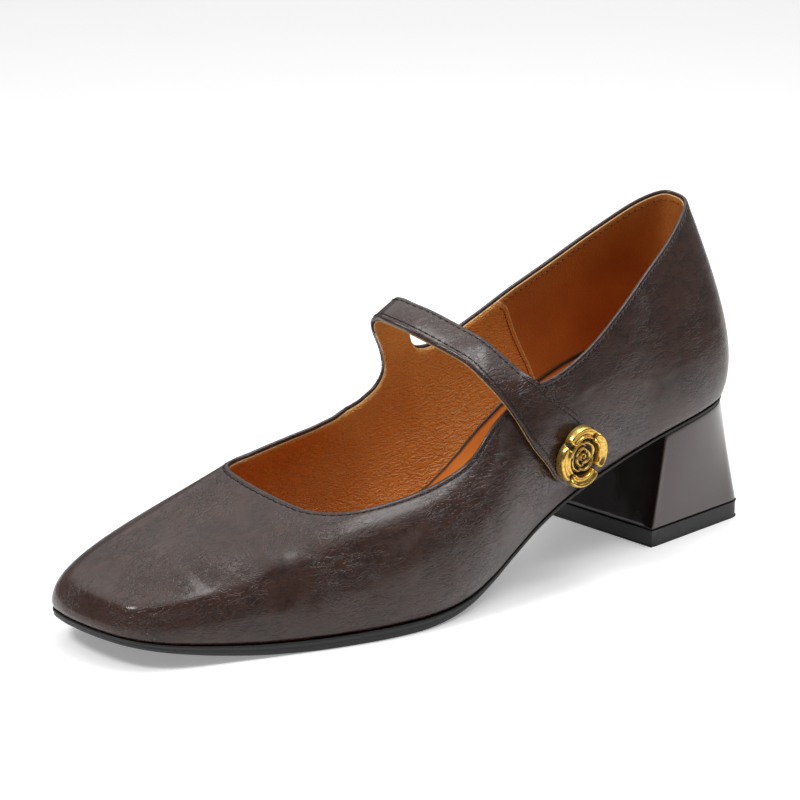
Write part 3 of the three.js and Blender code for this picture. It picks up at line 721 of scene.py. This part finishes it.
# %% Lining finish
def lining():
    """Polyurethane lining: tan and grained at the vamp, suede-like at the quarter."""
    finish, shader = finish_of("grained_and_suede_lining", IOR=1.45)
    behind = mark(finish, "behind_lap")
    grain = cloud(finish, 1.2, 2.0, laid(finish, (1.0, 0.4, 1.0), (0.25, 0, 0.05)), 0.3)
    ridges = ramp(finish, grain, [(0.38, 1.0), (0.5, 0.0), (0.62, 1.0)])
    shade = cloud(finish, 22)
    on_vamp = ramp(finish, between(finish, behind, -0.2, 0.2), [(0.0, 1.0), (1.0, 0.0)])
    tan = ramp(finish, shade, [(0.3, "#bb7833"), (0.7, "#ca8940")])
    suede = ramp(finish, shade, [(0.3, "#a05c1c"), (0.7, "#b26d26")])
    lap_edge = ramp(finish, between(finish, behind, -0.25, 0.15),
                    [(0.0, 0.0), (0.35, 1.0), (0.75, 1.0), (1.0, 0.0)])
    raw = calc(finish, "MAXIMUM", mark(finish, "raw_edge"), lap_edge)
    cloth = blend(finish, on_vamp, suede, tan)
    join(finish, shader, "Base Color", blend(finish, raw, cloth, linear("#cfae7c")))
    # a nap is finer than 0.1 mm, drawn at 0.5 mm so that it shows
    nap, wrinkle = cloud(finish, 0.5), calc(finish, "ADD", grain, ridges)
    press(finish, shader, blend(finish, on_vamp, nap, wrinkle), 0.7, 0.0004)
    join(finish, shader, "Roughness", ramp(finish, on_vamp, [(0.0, 0.75), (1.0, 0.42)]))
    return finish


lining_finish = lining()
bm = bmesh.new()
sheet(bm, 480, len(lining_rows) - 1, lining_shape, ["behind_lap", "raw_edge"])
upper_lining = piece("upper_lining", bm, [lining_finish])

# %% [markdown]
# ## The strap
#
# The strap grows out of the ear on the inner side, crosses the instep and is laid on the outer
# quarter, where the gilt ornament holds it. It is cut 13 mm wide and grows to 20 mm. Three
# curves, rear edge, middle and front edge, carry it, each drawn through the same points as the
# solid's. It starts 3 mm down the ear, so that the two read as one piece of leather.

# %% Path of the strap
# rear edge along, out, up, then front edge along, out, up
strap_rows = np.array([
    (0.486, -0.279, 1.175, 0.527, -0.295, 1.121),
    (0.487, -0.231, 1.185, 0.532, -0.233, 1.16),
    (0.485, -0.173, 1.169, 0.536, -0.167, 1.167),
    (0.477, -0.096, 1.133, 0.53, -0.071, 1.139),
    (0.467, 0.032, 1.069, 0.515, 0.077, 1.062),
    (0.46, 0.154, 1.011, 0.507, 0.205, 1.002),
    (0.453, 0.231, 0.944, 0.502, 0.282, 0.94),
    (0.443, 0.301, 0.862, 0.489, 0.346, 0.832),
])
# rear edge, middle and front edge, each as section and share of its height
lap_rows = np.array([
    (7.85, 1.04, 8.21, 0.96, 8.57, 0.9),
    (7.38, 0.88, 7.76, 0.78, 8.15, 0.69),
    (6.84, 0.73, 7.25, 0.62, 7.65, 0.52),
    (6.46, 0.57, 6.85, 0.46, 7.25, 0.36),
    (6.24, 0.43, 6.57, 0.34, 6.89, 0.25),
    (6.22, 0.32, 6.41, 0.27, 6.6, 0.21),
    (6.29, 0.26, 6.36, 0.24, 6.42, 0.22),
])


def smooth_path(points, s):
    """Centripetal curve through the points, s from 0 to 1."""
    ends = np.vstack([2 * points[0] - points[1], points, 2 * points[-1] - points[-2]])
    pace = np.maximum(np.linalg.norm(np.diff(ends, axis=0), axis=1), 1e-4) ** 0.5
    pace[0], pace[-1] = pace[1], pace[-2]
    i = np.clip(np.floor(s * (len(points) - 1)).astype(int), 0, len(points) - 2)
    w = (s * (len(points) - 1) - i)[:, None]
    p0, p1, p2, p3 = (ends[i + k] for k in range(4))
    d0, d1, d2 = (pace[i + k][:, None] for k in range(3))
    m = ((p1 - p0) / d0 - (p2 - p0) / (d0 + d1) + (p2 - p1) / d1) * d1
    n = ((p2 - p1) / d1 - (p3 - p1) / (d1 + d2) + (p3 - p2) / d2) * d1
    return hermite(w, p1, p2, m, n)


def strap_point(turn, v, distance):
    return off_face(np.float64(turn), np.float64(v), np.float64(distance))


def strap_edges():
    """The points that the rear edge, the middle and the front edge run through."""
    lift = GAP + WALL + 0.15
    ear_top = (37.0, 36.0, 35.0)
    rows = [[strap_point(t, 1 - 3.2 / rim_speed(t), 0.12) for t in ear_top],
            [strap_point(t, 1, 0.1) + upwards(np.float64(t), np.float64(1)) * GAP
             for t in ear_top]]
    for rear_along, rear_out, rear_up, along, out, up in strap_rows:
        rear = place(rear_along, rear_out, edge_up(rear_along) + rear_up * BACK)
        front = place(along, out, edge_up(along) + up * BACK)
        rows.append([rear, (rear + front) / 2, front])
    for row in lap_rows:
        rows.append([strap_point(row[i], row[i + 1], lift) for i in (0, 2, 4)])
    return [np.array([row[k] for row in rows]) for k in range(3)]


rear_edge, middle_line, front_edge = strap_edges()
SPANS = len(middle_line) - 1


def strap_frame(s):
    """Rear edge, middle, front edge and outward direction at s."""
    s = np.asarray(s, float)
    rear, middle, front = (smooth_path(line, s) for line in (rear_edge, middle_line, front_edge))
    a, b = np.maximum(s - 0.004, 0), np.minimum(s + 0.004, 1)
    run = smooth_path(middle_line, b) - smooth_path(middle_line, a)
    out = unit(np.cross(front - rear, run))
    ear = outwards(np.float64(36), np.float64(1))
    turned = np.clip((1.5 - s * SPANS) / 0.5, 0, 1)[:, None]
    return rear, middle, front, unit(out * (1 - turned) + ear * turned)


def on_strap(s, across, down):
    """A point on the strap: across from -1, rear, to 1, front; down in mm from its face."""
    rear, middle, front, out = strap_frame(s)
    a = across[:, None]
    crown = 0.5 * np.sin(np.pi * np.clip((s * SPANS - 1) / len(strap_rows), 0, 1))
    line = rear * a * (a - 1) / 2 + middle * (1 - a * a) + front * a * (a + 1) / 2
    return line + out * (crown * (1 - across**2) - down)[:, None]


def strap_width(s):
    """Width in mm at s."""
    rear, _, front, _ = strap_frame(s)
    return np.linalg.norm(front - rear, axis=1)


print("strap width mm", strap_width(np.array([0.1, 0.3, 0.5, 0.7])).round(1))

# %% [markdown]
# The strap's long edges are folded, so its section is a flat band with rounded sides, dented a
# little where the stitches pull.

# %% The strap's leather
def band(thickness, top, inset):
    """Section of a band with round sides: mm in from the edge, mm down, and side, per row."""
    r = thickness / 2
    arcs = np.radians([0, 30, 60, 90, 120, 150, 180])
    side = [(inset + r * (1 - math.sin(a)), top + r * (1 - math.cos(a))) for a in arcs]
    flat = [1.6, 2.4, 3.4]
    rows = [(-1, *p) for p in side[::-1]] + [(-1, mm, top) for mm in flat] + [(0, 0, top)]
    rows += [(1, mm, top) for mm in flat[::-1]] + [(1, *p) for p in side]
    rows += [(1, 3, top + thickness), (0, 0, top + thickness), (-1, 3, top + thickness)]
    return np.array(rows + [rows[0]])


strap_band, backing_band = band(1.5, 0.0, 0.0), band(0.75, 1.45, 0.3)


def strap_shape(rows):
    def shape(u, v):
        row = rows[np.rint(v * (len(rows) - 1)).astype(int)]
        s = u
        half = np.maximum(strap_width(s) / 2, 0.5)
        across = row[:, 0] * np.clip(1 - row[:, 1] / half, 0, 1)
        from_edge = np.where(row[:, 0] == 0, half, row[:, 1])
        down = row[:, 2] + np.where(row[:, 2] < 0.01, 0.14 * np.exp(
            -(((from_edge - STITCH_DOWN) / 0.5) ** 2)), 0)
        return on_strap(s, across, down), {"from_edge": from_edge}
    return shape


bm = bmesh.new()
sheet(bm, 300, len(strap_band) - 1, strap_shape(strap_band))
close_ends(bm)
strap_leather = piece("strap_leather", bm, [strap_finish], ["strap"])

# %% [markdown]
# Under it lies a thin cut backing, tan on its face. Its cut edge is raw: matt and pale, with the
# fibres just visible as a fine noise of 0.4 mm. It shows along the front edge from below.

# %% Backing of the strap
backing_finish, shader = finish_of("raw_cut_backing", Roughness=0.7, IOR=1.4)
raw = ramp(backing_finish, cloud(backing_finish, 0.4), [(0.3, "#8a6a42"), (0.7, "#b89a6c")])
inside = between(backing_finish, mark(backing_finish, "from_edge"), 0.62, 0.8)
join(backing_finish, shader, "Base Color",
     blend(backing_finish, inside, raw, linear("#b87c3c")))
bm = bmesh.new()
sheet(bm, 200, len(backing_band) - 1, strap_shape(backing_band), ["from_edge"])
close_ends(bm)
strap_backing = piece("strap_backing", bm, [backing_finish])

# %% [markdown]
# ## Sock, sole, heel and top lift
#
# The sock is a soft orange-tan sheet glued on the insole. The outsole is moulded rubber. The heel
# is a plastic block with a patent cover, straight at the breast and flared towards the floor, on
# a top lift of rubber. Each is a ring round the foot taken down level by level, and a sheet from
# side to side closes it above and below.

# %% Rings round the foot
def turn_at(along, back, toe=20.0):
    """The turn at which one side of the lower edge reaches a place along the shoe."""
    low, high = np.full_like(along, float(back)), np.full_like(along, toe)
    for _ in range(40):
        middle = (low + high) / 2
        short = section_at(middle, 0) < along
        low, high = np.where(short, middle, low), np.where(short, high, middle)
    return (low + high) / 2


STATIONS = 160
stations = (1 - np.cos(np.pi * np.arange(STATIONS + 1) / STATIONS)) / 2
outer_side = foot_point(turn_at(stations, 0))
inner_side = foot_point(turn_at(stations, 48))
foot_ring = np.vstack([outer_side, inner_side[-2:0:-1]])


def grown(ring, amount):
    """A ring moved outwards in plan by an amount per point."""
    way = np.roll(ring, -1, 0) - np.roll(ring, 1, 0)
    out = unit(np.stack([-way[:, 1], way[:, 0], np.zeros(len(ring))], -1))
    return ring + out * np.broadcast_to(amount, len(ring))[:, None]


def along_of(ring):
    return (SEAT - ring[:, 1]) / LENGTH


def at_height(ring, up):
    return np.column_stack([ring[:, 0], ring[:, 1], up])


def wall_shape(rings):
    """Bends a sheet into a wall through stacked rings."""
    rings = np.array(rings)
    def shape(u, v):
        i = np.rint(u * rings.shape[1]).astype(int) % rings.shape[1]
        return rings[np.rint(v * (len(rings) - 1)).astype(int), i], {}
    return shape


def lid_shape(ring, sag=lambda along, across: 0.0):
    """Bends a sheet into a lid whose two long borders lie on the ring's two sides."""
    half = len(ring) // 2
    def shape(u, v):
        k = np.rint(u * half).astype(int)
        a, b = ring[k], ring[(len(ring) - k) % len(ring)]
        point = a + (b - a) * v[:, None]
        point[:, 2] -= sag(u, 2 * v - 1) * np.minimum(1, np.linalg.norm(b - a, axis=1) / 20)
        return point, {}
    return shape


print("foot ring of", len(foot_ring), "points")

# %% [markdown]
# The sock is smooth and faintly mottled, with a satin touch; it dips a little in the middle,
# where the foot will lie. Its border is turned up against the lining as a shallow cup, highest
# at the arch on the inner side, and the cup's top edge is painted nearly black: a painted shadow
# of the gap between sock and lining.

# %% Sock
sock_finish, shader = finish_of("smooth_sock_sheet", Roughness=0.42, IOR=1.45)
sock_tone = ramp(sock_finish, cloud(sock_finish, 14, 4.0), [(0.3, "#cf7a30"), (0.7, "#db8b40")])
# the cup's top edge is painted nearly black: a painted shadow of the gap against the lining
join(sock_finish, shader, "Base Color",
     blend(sock_finish, mark(sock_finish, "cup_edge_shadow"), sock_tone, linear("#1a0c06")))
press(sock_finish, shader, cloud(sock_finish, 0.6), 0.25, 0.0001)

sock_ring = grown(foot_ring, -WALL - 0.45)
levels = [(0.0, 0.0), (1.1, 0.0), (1.55, -0.2), (1.8, -0.8)]
sock_rings = [at_height(grown(sock_ring, out), edge_up(along_of(sock_ring)) + up)
              for up, out in levels]
cup_turns = [0, 24, 30, 32.9, 33.9, 35.6, 37.2, 39.2, 40.3, 41, 41.8, 42.5, 43.6, 44.2, 46, 48]
cup_tops = [0.2, 0.0, 0.0, 0.02, 0.06, 0.09, 0.1, 0.135, 0.155, 0.18, 0.24, 0.28, 0.245, 0.245,
            0.22, 0.2]
# share of the cup's height, and mm in from the wall
cup_rows = np.array([(0.0, -0.85), (0.2, -0.75), (0.4, -0.65), (0.6, -0.6), (0.8, -0.6),
                     (0.93, -0.6), (1.0, -0.45), (1.0, -0.12), (0.5, -0.12), (0.0, -0.12),
                     (0.0, -0.85)])


def cup_shape(u, v):
    turn = u * len(sections)
    rows = cup_rows[np.rint(v * (len(cup_rows) - 1)).astype(int)]
    mirrored = np.where(turn > 20, turn, 48 - turn)
    top = np.maximum(np.interp(mirrored, cup_turns, cup_tops), 0.02)
    low = np.minimum(1.4 / rim_speed(turn), top)
    height = low + (top - low) * rows[:, 0]
    # the top rows of the cup carry the painted gap shadow
    edge = (rows[:, 0] > 0.92).astype(float)
    return off_face(turn, height, -WALL + rows[:, 1]), {"cup_edge_shadow": edge}


def dip(along, across):
    """How far the sock sags between its sides, in mm."""
    return 0.9 * (1 - across**2) * np.ones_like(along)


bm = bmesh.new()
sheet(bm, len(sock_ring), len(levels) - 1, wall_shape(sock_rings))
sheet(bm, STATIONS, 24, lid_shape(sock_rings[-1], dip))
sheet(bm, STATIONS, 4, lid_shape(sock_rings[0]))
sheet(bm, 480, len(cup_rows) - 1, cup_shape, ["cup_edge_shadow"])
insole_sock = piece("insole_sock", bm, [sock_finish], ["insole"])

# %% [markdown]
# Black rubber is matt and slightly grey on top, because moulding leaves a fine grit of about
# 0.5 mm. The edge of the sole has a fine groove, cut by the tool that trims it.

# %% Outsole
rubber_finish, shader = finish_of("moulded_rubber", "#141315", IOR=1.5)
grit = cloud(rubber_finish, 0.5, 3.0)
join(rubber_finish, shader, "Roughness", ramp(rubber_finish, grit, [(0.3, 0.62), (0.7, 0.42)]))
press(rubber_finish, shader, grit, 0.3, 0.0001)

foot_along = along_of(foot_ring)
lip = SOLE_LIP * smooth_at(bottom_rows, 4, foot_along)
sole_top, sole_under = edge_up(foot_along) - 0.05, underside_up(foot_along)
sole_levels = [(0.0, -0.9), (0.0, -0.15), (0.06, 0.0), (0.26, 0.02), (0.32, -0.08), (0.36, -0.34),
               (0.42, -0.36), (0.5, -0.3), (0.84, -0.28), (0.94, -0.45), (1.0, -0.85)]
sole_rings = [at_height(grown(foot_ring, lip + out), sole_top + down * (sole_under - sole_top))
              for down, out in sole_levels]
bm = bmesh.new()
sheet(bm, len(foot_ring), len(sole_levels) - 1, wall_shape(sole_rings))
sheet(bm, STATIONS, 10, lid_shape(sole_rings[0]))
sheet(bm, STATIONS, 10, lid_shape(sole_rings[-1]))
outsole = piece("outsole_rubber", bm, [rubber_finish], ["outsole"])

# %% [markdown]
# The heel's outline on the floor is a square back with rounded corners and a straight breast;
# under the seat it follows the sole. Both outlines are read out at the same number of points, so
# that the block can be lofted from one to the other.

# %% Heel outlines
# mm: in from the back of the foot, length, width at the back and at the breast, corner, and the
# breast's place under the seat
IN, LONG, BACK_WIDE, BREAST_WIDE, CORNER, SEAT_BREAST = 2.4, 48.6, 53.0, 57.0, 7.0, 43.0


def heel_floor():
    """Outline on the floor from the outer breast corner round the back to the inner one."""
    back, breast = SEAT - IN, SEAT - IN - LONG
    w, flare = BACK_WIDE / 2, BREAST_WIDE / 2
    bend = lambda a, b, c: [a * (1 - t) ** 2 + 2 * b * t * (1 - t) + c * t * t
                            for t in np.linspace(0, 1, 12)]
    p = [np.array(q, float) for q in ((flare, breast), (w, back - CORNER), (w, back),
         (w - CORNER, back), (CORNER - w, back), (-w, back), (-w, back - CORNER),
         (-flare, breast))]
    path = [p[0]] + bend(*p[1:4]) + bend(*p[4:7]) + [p[7]]
    return np.array([(x, y, 0) for x, y in path])


def evenly(path, count):
    """The same path in equal steps."""
    run = np.concatenate([[0], np.cumsum(np.linalg.norm(np.diff(path, axis=0), axis=1))])
    at = np.linspace(0, run[-1], count + 1)
    return np.column_stack([np.interp(at, run, path[:, k]) for k in range(3)])


def heel_seat(count):
    """Outline under the seat, between the same corners."""
    along = np.array([SEAT_BREAST / LENGTH])
    a, b = turn_at(along, 0)[0], turn_at(along, 48)[0] - 48
    arc = evenly(foot_point(np.linspace(a, b, 240)), count)
    inwards = np.array([0, SEAT - SEAT_BREAST, 0]) - arc
    inwards[:, 2] = 0
    return arc + unit(inwards) * 0.3


def with_breast(arc, steps=10):
    """Closes an outline with its straight breast and starts it at the middle of the back."""
    line = [arc[-1] + (arc[0] - arc[-1]) * k / steps for k in range(1, steps)]
    return np.roll(np.vstack([arc, line]), -(len(arc) // 2), 0)


ARC = 88
floor_ring, seat_ring = with_breast(evenly(heel_floor(), ARC)), with_breast(heel_seat(ARC))
print("heel ring of", len(floor_ring), "points")

# %% [markdown]
# Patent is a hard clear coat over brown: low roughness, strong reflections, the faintest ripple.
# The breast gets a darker copy of the same patent: a painted shade, for the dark under the arch
# that it faces. The corners get a small bevel, because a patent cover can't be folded to a knife
# edge.

# %% Heel block
heel_finish, shader = finish_of("patent_heel_cover", "#382a26", Roughness=0.16, IOR=1.4,
                                Coat_Weight=0.6, Coat_Roughness=0.03)
press(heel_finish, shader, cloud(heel_finish, 16, 1.0), 0.2, 0.0004)
# a darker copy of the heel's patent: painted shade on the breast
shaded_breast_finish, shader = finish_of("patent_breast_painted_shade", "#150d0a", Roughness=0.1, IOR=1.4,
                                  Coat_Weight=0.25, Coat_Roughness=0.02)
wave = cloud(shaded_breast_finish, 11, 1.0, laid(shaded_breast_finish, (1, 1, 0.6)))
press(shaded_breast_finish, shader, wave, 0.5, 0.0012)


def heel_ring(s):
    """Outline of the block at s, from the top lift (0) to the seat (1)."""
    low = LIFT + 0.12
    up = underside_up(along_of(seat_ring)) - 0.12
    ring = floor_ring + (seat_ring - floor_ring) * s
    return grown(at_height(ring, low + s * (up - low)), 0.25 * math.sin(math.pi * s))


bm = bmesh.new()
heel_rings = [heel_ring(s) for s in np.linspace(0, 1, 17)]
sheet(bm, len(floor_ring), 16, wall_shape(heel_rings))
close_ends(bm)
bmesh.ops.recalc_face_normals(bm, faces=bm.faces)
corners = [e for e in bm.edges if len(e.link_faces) == 2
           and e.calc_face_angle(0) > math.radians(50)]
bmesh.ops.bevel(bm, geom=corners, offset=0.0006, offset_type="OFFSET", segments=3, profile=0.5,
                affect="EDGES", material=-1)
bm.faces.ensure_lookup_table()
bm.normal_update()
# faces turned to the front take the darker copy, the painted shade of the breast
for face in bm.faces:
    face.material_index = int(face.normal.y < -0.8)
heel_block = piece("heel_block", bm, [heel_finish, shaded_breast_finish], ["heel"])
heel_block.data.set_sharp_from_angle(angle=math.radians(40))

# %% [markdown]
# The top lift is the plate of rubber that wears on the ground and is changed when it does. It
# keeps the heel's outline, with its two rims only just broken.

# %% Top lift
bm = bmesh.new()
lift_levels = [(0.0, -0.4), (0.4, 0.0), (5.2, 0.0), (5.6, -0.35)]
lift_rings = [at_height(grown(floor_ring, out), np.full(len(floor_ring), up))
              for up, out in lift_levels]
sheet(bm, len(floor_ring), len(lift_levels) - 1, wall_shape(lift_rings))
close_ends(bm)
top_lift = piece("top_lift_rubber", bm, [rubber_finish], ["top_lift"])
top_lift.data.set_sharp_from_angle(angle=math.radians(35))

# %% [markdown]
# ## The gilt ornament
#
# A cast rosette holds the strap. It is a plain four-petalled flower: each petal is a thick band
# with two raised rims and a groove between, black gaps part the petals, and a black ring parts
# them from the rolled rose in the middle. It is a round sheet whose height is raised along the
# ridges, and the same heights say where the plating is bright and where black lacquer stays in
# the hollows.

# %% Relief of the rosette
RADIUS, TURNED = 10.2, math.radians(-35)


def ridge(distance, width):
    return np.exp(-((distance / width) ** 2))


def relief(angle, share):
    """Height in mm and how much of the gilt shows, at an angle and a share of the radius."""
    mm = share * RADIUS
    petal = (angle + math.pi / 4) % (math.pi / 2) - math.pi / 4
    notch = ridge(petal * np.maximum(mm, 3), 0.8)
    band = np.clip((mm - 6.0) / 0.3, 0, 1)
    rims = np.maximum(ridge(mm - 6.75, 0.55), ridge(mm - 9.35, 0.8))
    petals = band * np.clip(1 - 1.3 * notch, 0, 1) * (1.3 + 1.0 * rims)
    rose = np.zeros_like(mm)
    for count, first, inner, swell, width, span in [(4, 0.3, 3.9, 1.2, 0.68, 2.0),
                                                    (3, 1.1, 2.1, 0.9, 0.6, 2.7)]:
        for k in range(count):
            s = ((angle - 2 * math.pi * k / count - first) % (2 * math.pi)) / span
            bow = np.sin(np.pi * np.clip(s, 0, 1))
            arc = inner - 0.5 + 0.7 * np.clip(s, 0, 1) + swell * bow**0.8
            rose = np.maximum(rose, ridge(mm - arc, width) * (s < 1) * bow**0.35)
    coil = ((mm / 1.15 - angle / (2 * math.pi)) % 1 - 0.5) * 1.15
    rose = np.maximum(rose, ridge(coil, 0.4) * (mm < 1.4))
    rose = rose * (mm < 5.7)
    height = 0.5 + np.maximum(petals, (1.3 + 0.4 * (1 - mm / 6)) * rose)
    return height, np.clip(np.maximum(petals / 1.2, rose) * 2.6 - 0.9, 0, 1)


lean = math.tan(math.radians(6))
turn, share = np.float64(6.83), np.float64(0.46)
centre = strap_point(turn, share, WALL + 3 * GAP + RADIUS * lean)
face_out = unit(outwards(turn, share) + np.array([0, -lean, 0]))
face_side = unit(np.cross(upwards(turn, share), face_out))
face_up = np.cross(face_out, face_side)
print("rosette centre, mm", centre.round(1))


def rosette_shape(u, v):
    angle = 2 * math.pi * u
    share = np.clip(v / 0.9, 0, 1)
    height, gilt = relief(angle, share)
    edge = np.clip((share - 0.955) / 0.045, 0, 1)
    height = height * (1 - 0.45 * edge**2)
    height = np.where(v > 0.9, height * (1 - v) / 0.1, height)
    # the rim's side wall gets a gilt of 0.7, so it is painted a little darker than the face: a
    # painted shade
    gilt = np.where(v > 0.9, 0.7, gilt)
    notch = np.abs(np.sin(2 * angle)) ** 0.6
    reach = share * (RADIUS - 1.4 * share * (1 - notch))
    a = angle + TURNED
    way = np.cos(a)[:, None] * face_side + np.sin(a)[:, None] * face_up
    point = centre + reach[:, None] * way
    return point + height[:, None] * face_out, {"gilt": gilt}


# %% [markdown]
# Antique gilt is gold plate on cast zinc, rubbed bright on the ridges, with black lacquer left in
# the hollows. A faint casting grain of 0.6 mm makes the gold uneven.

# %% Antique gilt
def antique_gilt():
    """Cast zinc, gold plated: warm metal, black lacquer in the hollows, fine casting grain."""
    finish, shader = finish_of("antique_gilt_zinc")
    gilt, grain = mark(finish, "gilt"), cloud(finish, 0.6, 3.0)
    gold = ramp(finish, grain, [(0.3, "#b48a3a"), (0.7, "#e2bf6a")])
    join(finish, shader, "Base Color", blend(finish, gilt, linear("#0a0807"), gold))
    join(finish, shader, "Metallic", gilt)
    join(finish, shader, "Roughness", ramp(finish, gilt, [(0.0, 0.5), (1.0, 0.2)]))
    press(finish, shader, grain, 0.15, 0.0001)
    return finish


bm = bmesh.new()
sheet(bm, 288, 80, rosette_shape, ["gilt"])
close_ends(bm)
rosette = piece("rosette_gilt", bm, [antique_gilt()], ["rosette"])

# %% [markdown]
# ## Thread
#
# Rows of lockstitch follow the top edge, the strap's two edges and the lining. The pitch is
# 2.4 mm. Each stitch is a small bead of waxed thread, and a flat dark bead between two stitches
# is painted shade in the needle's hole, where the thread goes down. A bead has only a few dozen
# faces, because there are hundreds of them.

# %% Stitches
def thread(name, dark, light):
    """Waxed polyester thread: a soft sheen on its twist, two tones of one colour."""
    finish, shader = finish_of(name, Roughness=0.5, IOR=1.5)
    twist = cloud(finish, 0.35, 1.0)
    join(finish, shader, "Base Color", ramp(finish, twist, [(0.3, dark), (0.8, light)]))
    return finish


def stitch_row(bm, points, outs, pitch=2.4, length=1.7, thick=0.6, raise_by=0.08):
    """Lays beads along a dense path of points in mm, with the direction out of the leather."""
    run = np.concatenate([[0], np.cumsum(np.linalg.norm(np.diff(points, axis=0), axis=1))])
    count = int(run[-1] / pitch)
    at = (np.arange(count) + 0.5) * run[-1] / count
    pick = lambda a, x: np.column_stack([np.interp(x, run, a[:, k]) for k in range(3)])
    spots, ways = pick(points, at), unit(pick(points, at + 0.5) - pick(points, at - 0.5))
    outs = unit(pick(outs, at))
    for spot, way, out in zip(spots + outs * raise_by, ways, outs):
        side = np.cross(out, way)
        turn = Matrix((way, side / np.linalg.norm(side), out)).transposed().to_4x4()
        size = Matrix.Diagonal((length / 2, thick / 2, thick / 2, 1))
        spin = Matrix.Rotation(math.pi / 2, 4, "Y")
        seat = Matrix.Scale(MM, 4) @ Matrix.Translation(spot) @ turn
        bmesh.ops.create_uvsphere(bm, u_segments=6, v_segments=4, radius=1,
                                  matrix=seat @ size @ spin)
        hole = Matrix.Translation((pitch / 2, 0, -raise_by)) @ Matrix.Diagonal(
            (0.4, thick * 0.7, 0.1, 1))
        made = bmesh.ops.create_uvsphere(bm, u_segments=6, v_segments=4, radius=1,
                                         matrix=seat @ hole)["verts"]
        for face in {face for vert in made for face in vert.link_faces}:
            face.material_index = 1
    return count


dark_thread = thread("waxed_thread_brown", "#120b09", "#180e0c")
tan_thread = thread("lining_thread", "#6a3414", "#8f461b")
# a needle's hole is a pit that light doesn't reach: nearly black and matt
hole_shade_finish, _ = finish_of("needle_hole_shade", "#0c0706", Roughness=0.9)
round_turns = np.linspace(0, 48, 2400)
below = 1 - STITCH_DOWN / rim_speed(round_turns)
bm = bmesh.new()
count = stitch_row(bm, off_face(round_turns, below, -0.2), outwards(round_turns, below))
for edge in (-1, 1):
    s = np.linspace(0.02, 0.93, 900)
    across = edge * (1 - STITCH_DOWN / (strap_width(s) / 2))
    count += stitch_row(bm, on_strap(s, across, np.full_like(s, 0.14)), strap_frame(s)[3])
edge_stitches = piece("edge_stitches", bm, [dark_thread, hole_shade_finish])
print(count, "stitches")

# %% [markdown]
# Inside, one row follows the top edge and one follows each lap. It is the same thread in tan, a
# little finer, laid on the other face.

# %% Stitches of the lining
bm = bmesh.new()
inner = 1 - 2.9 / rim_speed(round_turns)
count = stitch_row(bm, off_face(round_turns, inner, -2.12), -outwards(round_turns, inner),
                   thick=0.36)
heights = np.linspace(0.06, 0.93, 300)
for side, sign in (("inner", -1), ("outer", 1)):
    turns = np.interp(heights, lap_v, lap_turns[side]) + sign * 1.5 / ROUND_SPEED
    count += stitch_row(bm, off_face(turns, heights, -2.46), -outwards(turns, heights), thick=0.4)
lining_stitches = piece("lining_stitches", bm, [tan_thread, hole_shade_finish])
print(count, "stitches")
